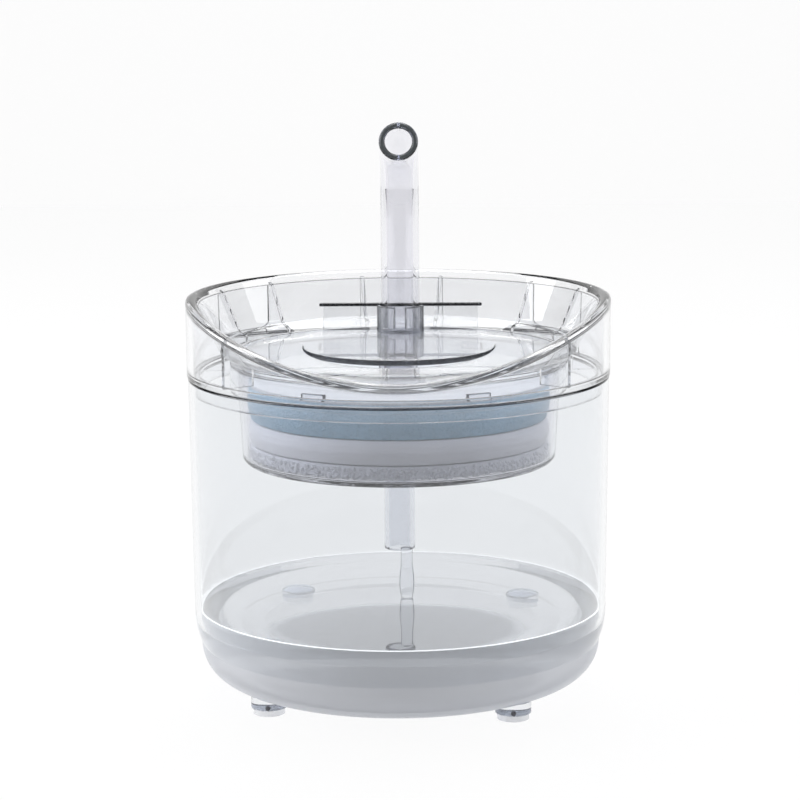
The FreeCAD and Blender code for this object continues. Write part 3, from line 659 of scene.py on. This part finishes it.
class FOUNTAIN_OT_collar(bpy.types.Operator):
    """Makes the clear collar with its saddle rim, funnel, ledge, skirt and gussets"""

    bl_idname = "fountain.collar"
    bl_label = "Collar"

    gusset_bearings = (24, 47, 78, 102, 133, 156, 185, 218, 322, 355)

    def execute(self, context):
        bm = bmesh.new()
        add_turned(bm, self.section, 288)
        collar = finish_mesh("collar_clear", bm)
        join(collar, *(self.gusset(math.radians(turn)) for turn in self.gusset_bearings))
        even_shading(collar)
        dress(collar, plastic("collar"), "collar", ["collar"])
        # painted shade: the rim's inner edge is made dark where it dips
        paint_edge_shade(collar, self.inner_crest)
        return {"FINISHED"}

    def levels(self, bearing):
        """Heights of the rim and of the ledge at a bearing."""
        share = dip(RIM_INNER * math.sin(bearing))
        crest = COLLAR_HIGH.z - 0.6
        ledge_rise = 3.4
        return crest - sizes().rim_dip * share, MOUTH + ledge_rise * (1 - min(share, 1.0))

    def section(self, bearing):
        """The wall at a bearing: rim, funnel, ledge, mouth, shelf, skirt and spigot."""
        rim, ledge = self.levels(bearing)
        outer = COLLAR_HIGH.x
        inner = outer - 2.4
        seat, shelf, roof = PLATE_LOW.z, PLATE_LOW.z - 1.8, SEAM + 2.0
        mouth_radius, shelf_radius = 61.6, 58.7
        skirt_bore, skirt_radius, skirt_low = 62.3, 64.3, 119.0
        spigot_bore, spigot_radius, spigot_low = 75.45, 77.45, COLLAR_LOW.z
        corners = [
            (outer, SEAM, 0.5), (outer, rim - 0.2, 1.6), (outer - 1.9, rim + 0.75, 1.6),
            (RIM_INNER, rim - 0.1, 1.4), (LEDGE_RADIUS, ledge, 4.0),
            (mouth_radius, MOUTH, 0.5), (mouth_radius, seat, 0.2),
            (shelf_radius, seat, 0.4), (shelf_radius, shelf, 0.4),
            (skirt_bore, shelf, 0.3), (skirt_bore, skirt_low, 0.5),
            (skirt_radius, skirt_low, 0.5), (skirt_radius, MOUTH - 2.3, 0.6),
            (LEDGE_RADIUS - 0.5, ledge - 2.2, 4.0), (RIM_INNER - 0.6, rim - 2.6, 0.8),
            (inner, rim - 2.4, 0.8), (inner, roof, 0.5), (spigot_bore, roof, 0.5),
            (spigot_bore, spigot_low, 0.6), (spigot_radius, spigot_low, 0.6),
            (spigot_radius, SEAM, 0.2),
        ]
        return rounded([corner[:2] for corner in corners],
                       [radius for *_, radius in corners], 5)

    def gusset(self, bearing):
        """A thin radial rib in the open space behind the funnel."""
        half, edge = 0.8, 0.25
        rim, ledge = self.levels(bearing)
        inner, outer, low = LEDGE_RADIUS - 2.5, COLLAR_HIGH.x - 2.2, SEAM + 1.6
        outline = [(inner, low), (outer, low), (outer, rim - 2.2), (RIM_INNER - 0.7, rim - 2.3),
                   (LEDGE_RADIUS - 0.1, ledge - 1.9), (inner, ledge - 2.4)]
        bm = bmesh.new()
        face = bm.faces.new([bm.verts.new((reach, -half, z)) for reach, z in outline])
        made = bmesh.ops.extrude_face_region(bm, geom=[face])
        moved = [v for v in made["geom"] if isinstance(v, bmesh.types.BMVert)]
        bmesh.ops.translate(bm, vec=(0, 2 * half, 0), verts=moved)
        bmesh.ops.bevel(bm, geom=bm.edges[:], offset=edge, segments=2, profile=0.5,
                        affect="EDGES")
        bmesh.ops.rotate(bm, cent=(0, 0, 0), matrix=Matrix.Rotation(bearing, 3, "Z"),
                         verts=bm.verts)
        return finish_mesh("gusset", bm)

    def inner_crest(self, centre, normal):
        """True on the inner edge of the rim where it dips."""
        rim = self.levels(math.atan2(centre.y, centre.x))[0]
        return (dip(centre.y) > 0.06 and centre.z > rim - 1.7
                and RIM_INNER - 1.4 < centre.xy.length < RIM_INNER + 0.7)


class FOUNTAIN_OT_cover(bpy.types.Operator):
    """Makes the drinking plate with its tab, spout socket and crescent slot"""

    bl_idname = "fountain.cover"
    bl_label = "Drinking plate"

    def execute(self, context):
        radius, edge = 61.2, 0.35
        chord_share = 0.855
        lead = math.degrees(math.asin(chord_share))
        outline = circle(radius, (0, 0), 160, 180 - lead, 180 + 2 * lead)
        hole = circle(SOCKET_BORE, SOCKET_PLACE, 64)
        plate = flat_piece("plate_clear", [outline, self.crescent(radius), hole],
                           PLATE_LOW.z, PLATE_TOP, edge)
        join(plate, *self.tab(chord_share * radius), *self.socket())
        even_shading(plate)
        dress(plate, plastic("plate"), "cover", ["cover_plate"])
        # painted shade: the lip, the socket's sides, the slit and the cut edges are made dark
        paint_edge_shade(plate, self.edge_shade_faces)
        return {"FINISHED"}

    def crescent(self, radius):
        """The drain slot's outline: a half ellipse in front and a half circle behind."""
        inner = 0.6 * radius
        inner_middle, outer_middle = 9.4, 10.4
        across, deep = 1.005 * inner, 0.67 * radius + 14.6
        outer = [(across * x, outer_middle + deep * y)
                 for x, y in circle(1.0, (0, 0), 180, 180, 180)]
        return outer + circle(inner, (0, inner_middle), 120, 180, 180)[::-1]

    def tab(self, chord):
        """The upright tab on the plate's straight back edge, and its lip."""
        half, lip_half = 31.0, 32.5
        high = PLATE_HIGH.z
        wall = rounded_block("tab", (-half, chord - 1.8, PLATE_TOP - 0.4),
                             (half, chord, high - 0.6), 0.3)
        lip = rounded_block("lip", (-lip_half, chord - 2.4, high - 1.2),
                            (lip_half, chord + 0.6, high), 0.45)
        return wall, lip

    def socket(self):
        """The spout's socket: a ring on the plate and a sleeve with a slit in front."""
        outside, slit_half = SOCKET_BORE + SOCKET_WALL, 2.0
        ring = turned("cup", tube_section(SOCKET_BORE, outside, PLATE_TOP - 0.4,
                                          PLATE_TOP + 2.2, 0.3), 64, SOCKET_PLACE)
        slit = math.degrees(math.asin(slit_half / (SOCKET_BORE + 0.7)))
        wall = tube_section(SOCKET_BORE, outside, PLATE_TOP + 2.0, PLATE_HIGH.z - 0.4, 0.4)
        bm = bmesh.new()
        add_turned(bm, lambda bearing: wall, 64, SOCKET_PLACE, -90 + slit, 360 - 2 * slit)
        return ring, finish_mesh("sleeve", bm)

    def edge_shade_faces(self, centre, normal):
        """True on the lip, the socket's outer sides, the slit and the plate's cut edges, which
        get painted shade.
        """
        across = abs(centre.x)
        standing = centre.z > PLATE_TOP + 0.3
        side = SOCKET_BORE + 0.8 < across < SOCKET_BORE + 1.6
        slit = across < 2.6 and centre.y < SOCKET_PLACE[1] and abs(normal.x) > 0.5
        cut_edge = centre.z < PLATE_TOP and abs(normal.z) < 0.6
        return centre.z > PLATE_HIGH.z - 1.3 or standing and (side or slit) or cut_edge


class FOUNTAIN_OT_duct(bpy.types.Operator):
    """Makes the duct under the plate with its two cups, and dresses the sealing rings"""

    bl_idname = "fountain.duct"
    bl_label = "Duct and seals"

    def execute(self, context):
        low, high = span("cross_duct")
        reach = high.y - SOCKET_PLACE[1]
        top = PLATE_LOW.z - 0.05
        duct = self.spout_cup(reach, top)
        join(duct, *self.channel(reach, top, low.z))
        even_shading(duct)
        dress(duct, plastic("duct"), "cover", ["cross_duct"])

        def cup_front(centre, normal):
            wall = (centre.xy - Vector(SOCKET_PLACE)).length > reach - 2.4
            down = -normal.z
            return (centre.y < SOCKET_PLACE[1] and wall and down < 0.95
                    and (down > 0.1 or abs(centre.x) > 8.6))

        # painted shade: the front of the spout cup's wall is made dark
        paint_edge_shade(duct, cup_front)
        for node in ("riser_seal", "spout_seal"):
            dress_node(node, plastic("seal"))
        return {"FINISHED"}

    def spout_cup(self, reach, top):
        """The round cup under the spout's socket, with a soft bottom corner."""
        low, wall, floor = 127.4, 1.5, 0.9
        return turned("duct_clear", rounded(
            [(0.0, low), (reach, low), (reach, top), (reach - wall, top),
             (reach - wall, low + floor), (0.0, low + floor)],
            [0, 2.6, 0.3, 0.3, 1.4, 0], 8, closed=False), 96, SOCKET_PLACE)

    def channel(self, reach, top, socket_low):
        """The flat hollow channel from the middle to the cup, and the riser's socket."""
        half, wall, low, roof = 7.3, 1.5, 124.05, 1.0
        end = SOCKET_PLACE[1] - reach
        outer = rounded_block("channel", (-half, -half, low), (half, end + 0.6, top), 0.8)
        inner = rounded_block("hollow", (wall - half, wall - half, low + wall),
                              (half - wall, end - 0.9, top - roof), 0.5)
        inner.data.flip_normals()
        socket = turned("socket", tube_section(6.0, 6.0 + wall, socket_low, low + 0.3, 0.3), 64)
        return outer, inner, socket


class FOUNTAIN_OT_riser(bpy.types.Operator):
    """Makes the riser pipe"""

    bl_idname = "fountain.riser"
    bl_label = "Riser"

    def execute(self, context):
        wall, edge = 1.8, 0.5
        riser = turned("riser_clear", tube_section(RISER_HIGH.x - wall, RISER_HIGH.x,
                                                   RISER_LOW.z, RISER_HIGH.z, edge), 96)
        even_shading(riser)
        dress(riser, plastic("riser"), "cover", ["riser_pipe"])
        return {"FINISHED"}


class FOUNTAIN_OT_spout(bpy.types.Operator):
    """Makes the bent clear spout"""

    bl_idname = "fountain.spout"
    bl_label = "Spout"

    outside = 7.6
    bore = 5.3
    edge = 0.35
    lean = math.radians(70.0)
    around = 96

    def execute(self, context):
        path = self.path()
        last = len(path) - 1
        bm = bmesh.new()
        rows = []
        for i, (place, lean) in enumerate(path):
            rows.append(self.ring(bm, place, lean, self.outside
                                  - (self.edge if i in (0, last) else 0)))
        for i in range(last, -1, -1):
            rows.append(self.ring(bm, *path[i], self.bore
                                  + (self.edge if i in (0, last) else 0)))
        for i, row in enumerate(rows):
            after = rows[(i + 1) % len(rows)]
            for k in range(self.around):
                beside = (k + 1) % self.around
                bm.faces.new([row[k], row[beside], after[beside], after[k]])
        spout = finish_mesh("spout_clear", bm)
        even_shading(spout)
        dress(spout, plastic("spout"), "spout", ["spout_tube"])
        self.mouth_shade(path[-1][0])
        return {"FINISHED"}

    def path(self):
        """Places and leans of the tube's rings: a standing part, a bend and a short nose."""
        back, foot, middle, bend_low = SOCKET_PLACE[1], SPOUT_LOW.z, 150.0, 189.2
        bend, nose, steps = 19.0, 6.0, 32
        path = [(Vector((0, back, z)), 0.0) for z in (foot, foot + 0.6, middle, bend_low)]
        for i in range(1, steps + 1):
            lean = self.lean * i / steps
            path.append((Vector((0, back - bend * (1 - math.cos(lean)),
                                 bend_low + bend * math.sin(lean))), lean))
        ahead = Vector((0, -math.sin(self.lean), math.cos(self.lean)))
        end = path[-1][0]
        return path + [(end + ahead * length, self.lean) for length in (nose - 0.5, nose)]

    def ring(self, bm, place, lean, radius):
        """One ring of the tube; the outside has a fine parting line in front and behind."""
        up = Vector((0, math.cos(lean), math.sin(lean)))
        parting = 0.12 if radius > self.bore + 1.0 else 0.0
        made = []
        for k in range(self.around):
            turn = 2 * math.pi * k / self.around
            on_line = k in (self.around // 4, 3 * self.around // 4)
            reach = radius + (parting if on_line else 0.0)
            made.append(bm.verts.new(place + Vector((1, 0, 0)) * reach * math.cos(turn)
                                     + up * reach * math.sin(turn)))
        return made

    def mouth_shade(self, place):
        """A dark ring of painted shade on the mouth's face, in two halves beside the parting
        line.
        """
        gap, sunk, proud = 4.5, -0.1, 0.04
        inner, outer = self.bore + self.edge, self.outside - self.edge
        skin = [(inner, sunk), (outer, sunk), (outer, proud), (inner, proud)]
        halves = []
        for start in (-90 + gap, 90 + gap):
            bm = bmesh.new()
            add_turned(bm, lambda bearing: skin, 48, (0, 0), start, 180 - 2 * gap)
            bmesh.ops.rotate(bm, cent=(0, 0, 0), matrix=Matrix.Rotation(self.lean, 3, "X"),
                             verts=bm.verts)
            bmesh.ops.translate(bm, vec=place, verts=bm.verts)
            halves.append(finish_mesh("mouth_shade", bm))
        # painted shade: the near-black finish of the mouth's ring
        dress(join(*halves), plain("mouth_painted_shade", (0.09, 0.10, 0.105), 0.35, 2500.0), "spout")


class FOUNTAIN_OT_basket(bpy.types.Operator):
    """Makes the clear filter basket with its drain slots, sleeve and bayonet lugs"""

    bl_idname = "fountain.basket"
    bl_label = "Filter basket"

    top_radius = 61.6
    foot_radius = 59.8
    wall = 1.6
    floor = 1.8

    def execute(self, context):
        basket = self.cup()
        join(basket, self.drain_floor(), self.sleeve(),
             *(self.lug(bearing) for bearing in (-62, -118, 62, 118)))
        even_shading(basket)
        dress(basket, plastic("basket"), "basket", ["filter_basket"])
        # painted shade: the basket's bottom edge is made dark
        paint_edge_shade(basket, lambda centre, normal: centre.z < BASKET_LOW.z + 0.9
              and centre.xy.length > self.foot_radius - 2.6)
        return {"FINISHED"}

    def cup(self):
        """The tapered wall with its small bottom corner, and the rim of the floor."""
        low, high, floor = BASKET_LOW.z, BASKET_HIGH.z, BASKET_LOW.z + self.floor
        inner = self.foot_radius - 6.0
        return turned("basket_clear", rounded(
            [(inner, low), (self.foot_radius, low), (self.top_radius, high),
             (self.top_radius - self.wall, high), (self.foot_radius - self.wall, floor),
             (inner, floor)], [0.2, 2.6, 0.6, 0.6, 1.2, 0.2], 8), 224)

    def drain_floor(self):
        """The floor with its hole for the riser and sixteen radial drain slots."""
        count, half = 16, 1.1
        inner, outer = 0.3 * self.foot_radius, 0.78 * self.foot_radius
        corners = [(inner, -half), (outer, -half), (outer, half), (inner, half)]
        loops = [circle(self.foot_radius - 5.0, (0, 0), 160), circle(6.6, (0, 0), 48)]
        for i in range(count):
            bearing = 2 * math.pi * i / count
            c, s = math.cos(bearing), math.sin(bearing)
            loops.append([(x * c - y * s, x * s + y * c) for x, y in corners])
        inset = 0.05
        return flat_piece("floor", loops, BASKET_LOW.z + inset,
                          BASKET_LOW.z + self.floor - inset, 0.3)

    def sleeve(self):
        """The standing sleeve that lets the riser through the layers."""
        bore, top = 6.4, 117.2
        return turned("sleeve", tube_section(bore, bore + 1.5,
                                             BASKET_LOW.z + self.floor - 0.5, top, 0.4), 64)

    def lug(self, bearing):
        """A bayonet lug on the basket's wall."""
        inner, outer, low, high = self.top_radius - 0.8, self.top_radius + 1.5, 122.6, 125.0
        half = math.degrees(4.5 / self.top_radius)
        section = rounded([(inner, low), (outer, low), (outer, high), (inner, high)],
                          [0.2, 0.4, 0.4, 0.2], 3)
        bm = bmesh.new()
        add_turned(bm, lambda angle: section, 12, (0, 0), bearing - half, 2 * half)
        return finish_mesh("lug", bm)


def soft_disc(name, outside, bore, low, high, bulge, waves, seed):
    """A soft round layer with a middle hole; its rim bulges and wavers a little."""
    def section(bearing):
        waver = sum(math.sin(bearing * n + seed * n) / n for n in (3, 5, 8, 13)) * waves
        edge = outside + waver - waves * 1.6
        tall = high - low
        points = [(bore, low + 0.4), (edge - 0.8, low + 0.1), (edge, low + tall * 0.25),
                  (edge + bulge, low + tall * 0.5), (edge, low + tall * 0.75),
                  (edge - 0.9, high - 0.1 + waver * 0.3), (bore, high - 0.4)]
        radii = [0.5, 0.8, tall * 0.4, tall * 0.4, tall * 0.4, 0.8, 0.5]
        return rounded(points, radii, 4)

    bm = bmesh.new()
    add_turned(bm, section, 192)
    return finish_mesh(name, bm)


class FOUNTAIN_OT_filter(bpy.types.Operator):
    """Makes the sponge, the cotton and the bag of granules"""

    bl_idname = "fountain.filter"
    bl_label = "Filter layers"

    bore = 8.4

    def execute(self, context):
        outside = SPONGE_HIGH.x
        sponge = soft_disc("sponge", outside, self.bore, SPONGE_LOW.z, SPONGE_HIGH.z,
                           0.5, 0.25, 1)
        skin_height = SPONGE_HIGH.z - 0.9
        dress(sponge, foam("sponge_foam", tuple(finish().sponge), skin_height), "basket",
              ["filter_sponge"])
        cotton = soft_disc("cotton", outside, self.bore, COTTON_LOW.z, COTTON_HIGH.z,
                           0.5, 0.35, 2)
        dress(cotton, fibre("cotton_fibre", tuple(finish().cotton)), "basket",
              ["filter_cotton"])
        mineral = plain("granule_mineral", (0.72, 0.73, 0.77), 0.85, 900.0)
        dress(self.granules(outside, mineral), mineral, "basket",
              ["filter_granules"])
        return {"FINISHED"}

    def granules(self, outside, mineral):
        """The bag of granules: grains spread by a node tree round a plain core."""
        grain = 0.95
        clear = 1.15 * grain
        values = {"Outside": (outside - clear) * MM, "Bore": (self.bore + 2 * grain) * MM,
                  "Low": (GRANULES_LOW.z + clear) * MM,
                  "High": (GRANULES_HIGH.z - clear) * MM,
                  "Grain": grain * MM, "Count": sizes().granule_count, "Finish": mineral}
        group, names = self.bed_tree(values)
        holder = show("bed", bpy.data.meshes.new("bed"))
        modifier = holder.modifiers.new("Bed", "NODES")
        modifier.node_group = group
        for label, value in values.items():
            modifier[names[label]] = value
        mesh = plain_mesh(holder)
        mesh.name = "granules"
        bed = show("granules", mesh)
        core = tube_section(self.bore + 0.6, outside - 1.1, GRANULES_LOW.z + 1.0,
                            GRANULES_HIGH.z - 0.2, 0.5)
        return join(bed, turned("core", core, 128))

    def bed_tree(self, labels):
        """A node tree that spreads grains in a flat ring, and its inputs' identifiers."""
        kinds = {"Count": "NodeSocketInt", "Finish": "NodeSocketMaterial"}
        group = bpy.data.node_groups.new("Granule bed", "GeometryNodeTree")
        names = {label: group.interface.new_socket(
            name=label, in_out="INPUT",
            socket_type=kinds.get(label, "NodeSocketFloat")).identifier for label in labels}
        group.interface.new_socket(name="Geometry", in_out="OUTPUT",
                                   socket_type="NodeSocketGeometry")
        tree = Tree(group)
        source = group.nodes.new("NodeGroupInput")
        given = {label: Socket(tree, source.outputs[label]) for label in labels}
        first_seed = 7

        def spread(low, high, order):
            """A random number for each grain; order keeps the draws apart."""
            return tree.add("FunctionNodeRandomValue", {"data_type": "FLOAT"},
                            {2: low, 3: high, "Seed": first_seed + order}, output=1)

        def either(choice, no, yes):
            return tree.add("GeometryNodeSwitch", {"input_type": "FLOAT"}, [choice, no, yes])

        at_rim = tree.add("GeometryNodeInputIndex") < given["Count"] * 0.5
        inside = spread(given["Bore"] ** 2.0, given["Outside"] ** 2.0, 0).math("SQRT")
        edge = given["Outside"] - given["Grain"] * spread(0.0, 0.8, 4)
        radius = either(at_rim, inside, edge)
        angle = spread(0.0, 2 * math.pi, 1)
        height = either(at_rim, given["Low"], spread(given["Low"], given["High"], 2))
        place = tree.add("ShaderNodeCombineXYZ", {}, [
            radius * angle.math("COSINE"), radius * angle.math("SINE"), height])
        points = tree.add("GeometryNodePoints", {},
                          {"Count": given["Count"], "Position": place})
        ball = tree.add("GeometryNodeMeshIcoSphere", {},
                        {"Radius": given["Grain"], "Subdivisions": 1})
        copies = tree.add("GeometryNodeInstanceOnPoints", {},
                          {"Points": points, "Instance": ball, "Scale": spread(0.75, 1.1, 3)})
        real = tree.add("GeometryNodeRealizeInstances", {}, [copies])
        dressed = tree.add("GeometryNodeSetMaterial", {},
                           {"Geometry": real, "Material": given["Finish"]})
        tree.add("NodeGroupOutput", {}, [dressed])
        return group, names


class FOUNTAIN_OT_water(bpy.types.Operator):
    """Makes the shallow water and the thin stream that falls into it"""

    bl_idname = "fountain.water"
    bl_label = "Water"

    gap = 0.12

    def execute(self, context):
        wall = TANK_HIGH.x - sizes().tank_draft - sizes().tank_wall - self.gap
        pool = turned("pool", self.section(wall), 256)
        even_shading(pool)
        dress(pool, hazy_water("pool_water", tuple(finish().water), 0.85, 0.92), "base",
              ["water_pool"])
        # painted highlight: a glowing ring stands for the bright line of the meniscus
        dress(self.meniscus(wall - 0.02), painted_gleam("meniscus_painted_gleam"), "base")
        stream = self.stream()
        even_shading(stream)
        dress(stream, clear_plastic("stream_water", (0.93, 0.94, 0.96), 1.33, 0.0), "cover",
              ["water_stream"])
        return {"FINISHED"}

    def section(self, wall):
        """The pool's half section, a hair inside the tank's floor, corner and wall."""
        s = sizes()
        floor = s.tank_underside + s.tank_floor + self.gap
        corner = s.tank_corner - s.tank_wall - self.gap
        level, edge = POOL_HIGH.z, wall + 0.02
        below = rounded([(0.0, floor), (wall, floor), (edge, level - 0.5)],
                        [0, corner, 0], 24, closed=False)[:-1]
        above = rounded([below[-1], (edge, level), (0.0, level)], [0, 0.25, 0], 3,
                        closed=False)[1:]
        return below + above

    def meniscus(self, edge):
        """The fine ring where the surface meets the wall, which carries the glowing painted
        highlight.
        """
        wide, low, high = 0.5, POOL_HIGH.z - 0.45, POOL_HIGH.z - 0.01
        corners = [(edge - wide, low), (edge, low), (edge, high), (edge - wide, high)]
        return turned("meniscus", rounded(corners, [0.15] * 4, 2), 256)

    def stream(self):
        """The stream from the riser to the surface; it thins a little at both ends."""
        middle = (STREAM_LOW.x + STREAM_HIGH.x) / 2
        reach = (STREAM_HIGH.x - STREAM_LOW.x) / 2
        low, high, steps = STREAM_LOW.z, STREAM_HIGH.z, 24
        points = [(0.0, low)]
        for i in range(steps + 1):
            share = i / steps
            swell = 0.80 + 0.20 * math.sin(math.pi * min(1.0, share * 1.6))
            points.append((reach * swell, low + (high - low) * share))
        return turned("stream", points + [(0.0, high)], 48, (middle, 0.0))


class FOUNTAIN_OT_stage(bpy.types.Operator):
    """Sets the camera, the floor, the backdrop and the soft light"""

    bl_idname = "fountain.stage"
    bl_label = "Stage"

    def execute(self, context):
        scene = context.scene
        self.camera(scene)
        material = self.paper_material()
        half, back, front, tall = 1.8, 2.0, -1.0, 1.4
        floor = self.paper("floor", material, [
            (-half, front, 0), (half, front, 0), (half, back, 0), (-half, back, 0)])
        wall = self.paper("backdrop", material, [
            (-half, back, 0), (half, back, 0), (half, back, tall), (-half, back, tall)])
        self.lamp("top_soft", (0.0, 0.6, 1.5), 1.2, 22.0)
        self.lamp("left_soft", (-1.5, 0.1, 0.8), 1.1, 18.0)
        self.lamp("right_soft", (1.5, 0.1, 0.8), 1.1, 10.5)
        self.lamp("front_fill", (0.0, -1.7, 0.9), 1.0, 5.0, mirrored=False)
        self.world(scene)
        scene.view_settings.view_transform = "Standard"
        scene.cycles.max_bounces = 28
        scene.cycles.transmission_bounces = 28
        scene.cycles.glossy_bounces = 8
        scene.cycles.transparent_max_bounces = 48
        return {"FINISHED"}

    def lamp(self, name, place, size, power, mirrored=True):
        """A square soft light that looks at the object; clear pieces don't show it through."""
        light = bpy.data.lights.new(name, "AREA")
        light.shape = "SQUARE"
        light.size = size
        light.energy = power
        holder = show(name, light)
        holder.location = place
        holder.visible_transmission = False
        holder.visible_glossy = mirrored
        aim = Vector((0, 0, 0.1)) - Vector(place)
        holder.rotation_euler = aim.to_track_quat("-Z", "Y").to_euler()

    def paper(self, name, material, corners):
        """A sheet of white paper; past its edges the studio is dark, which draws clear rims."""
        mesh = bpy.data.meshes.new(name)
        mesh.from_pydata(corners, [], [(0, 1, 2, 3)])
        mesh.materials.append(material)
        return show(name, mesh)

    def camera(self, scene):
        """The photograph's viewing angle, from a fit to its edges, in millimetres."""
        picture_side, middle_below = 800.0, 85.853
        distance, aside, height = 946.08, 0.216, 79.486
        pitch, azimuth, roll = (math.radians(turn) for turn in (11.856, 1.066, 0.433))
        right = Vector((math.cos(azimuth), math.sin(azimuth), 0))
        level = Vector((-math.sin(azimuth), math.cos(azimuth), 0))
        upward = Vector((0, 0, 1))
        view = level * math.cos(pitch) - upward * math.sin(pitch)
        top = upward * math.cos(pitch) + level * math.sin(pitch)
        axis_x = right * math.cos(roll) - top * math.sin(roll)
        axis_y = right * math.sin(roll) + top * math.cos(roll)
        place = right * aside + upward * height - view * distance
        turn = Matrix((axis_x, axis_y, -view)).transposed()
        camera = bpy.data.cameras.new("camera")
        camera.sensor_width = 36.0
        camera.lens = 110.67
        camera.shift_y = middle_below / picture_side
        camera.clip_start = 0.05
        camera.clip_end = 30.0
        scene.camera = show("camera", camera)
        scene.camera.matrix_world = Matrix.Translation(place * MM) @ turn.to_4x4()

    def paper_material(self):
        """White paper that shows pure white round the object and keeps its shadow."""
        nodes = Nodes("floor_paper")
        colour = nodes.blend(nodes.noise(40.0), (0.90, 0.90, 0.905), (0.92, 0.92, 0.925))
        paper = nodes.principled(Base_Color=colour, Roughness=0.9)
        glow = nodes.add("ShaderNodeEmission", {}, {"Color": (1, 1, 1, 1), "Strength": 1.0})
        camera_ray, glossy_ray, through_ray = (
            nodes.add("ShaderNodeLightPath", output=ray) for ray in (0, 3, 6))
        seen = (camera_ray + glossy_ray).math("MAXIMUM", through_ray).math("MINIMUM", 1.0)
        glow_share = 0.92
        return nodes.out(nodes.add("ShaderNodeMixShader", {},
                                   [seen * glow_share, paper, glow]))

    def world(self, scene):
        """A dim studio, white only where the camera looks straight into it."""
        world = bpy.data.worlds.new("studio")
        scene.world = world
        world.use_nodes = True
        tree = Tree(world.node_tree)
        dim = tree.add("ShaderNodeBackground", {}, {"Color": (0.12, 0.12, 0.125, 1)})
        white = tree.add("ShaderNodeBackground", {}, {"Color": (1, 1, 1, 1)})
        camera_ray = tree.add("ShaderNodeLightPath", output=0)
        mix = tree.add("ShaderNodeMixShader", {}, [camera_ray, dim, white])
        tree.add("ShaderNodeOutputWorld", {}, {"Surface": mix})


OPERATORS = [FOUNTAIN_OT_tank, FOUNTAIN_OT_collar, FOUNTAIN_OT_cover, FOUNTAIN_OT_duct,
             FOUNTAIN_OT_riser, FOUNTAIN_OT_spout, FOUNTAIN_OT_basket, FOUNTAIN_OT_filter,
             FOUNTAIN_OT_water, FOUNTAIN_OT_stage]


class FOUNTAIN_PT_panel(bpy.types.Panel):
    """Lists the fountain's sizes, colours and pieces"""

    bl_idname = "FOUNTAIN_PT_panel"
    bl_label = "Water fountain"
    bl_space_type = "VIEW_3D"
    bl_region_type = "UI"
    bl_category = "Fountain"

    def draw(self, context):
        layout = self.layout
        for group in (context.scene.fountain_sizes, context.scene.fountain_finish):
            for name in group.__annotations__:
                layout.prop(group, name)
        for operator in OPERATORS:
            layout.operator(operator.bl_idname)


CLASSES = [FountainSizes, FountainFinish, *OPERATORS, FOUNTAIN_PT_panel]


def register():
    """Makes the operators, the panel and the settings known to Blender."""
    for made in CLASSES:
        bpy.utils.register_class(made)
    bpy.types.Scene.fountain_sizes = PointerProperty(type=FountainSizes)
    bpy.types.Scene.fountain_finish = PointerProperty(type=FountainFinish)


def unregister():
    """Takes them out again."""
    del bpy.types.Scene.fountain_finish
    del bpy.types.Scene.fountain_sizes
    for made in reversed(CLASSES):
        bpy.utils.unregister_class(made)


def main():
    """Dresses the whole fountain."""
    register()
    for operator in OPERATORS:
        group, name = operator.bl_idname.split(".")
        getattr(getattr(bpy.ops, group), name)()


if __name__ == "__main__":
    main()
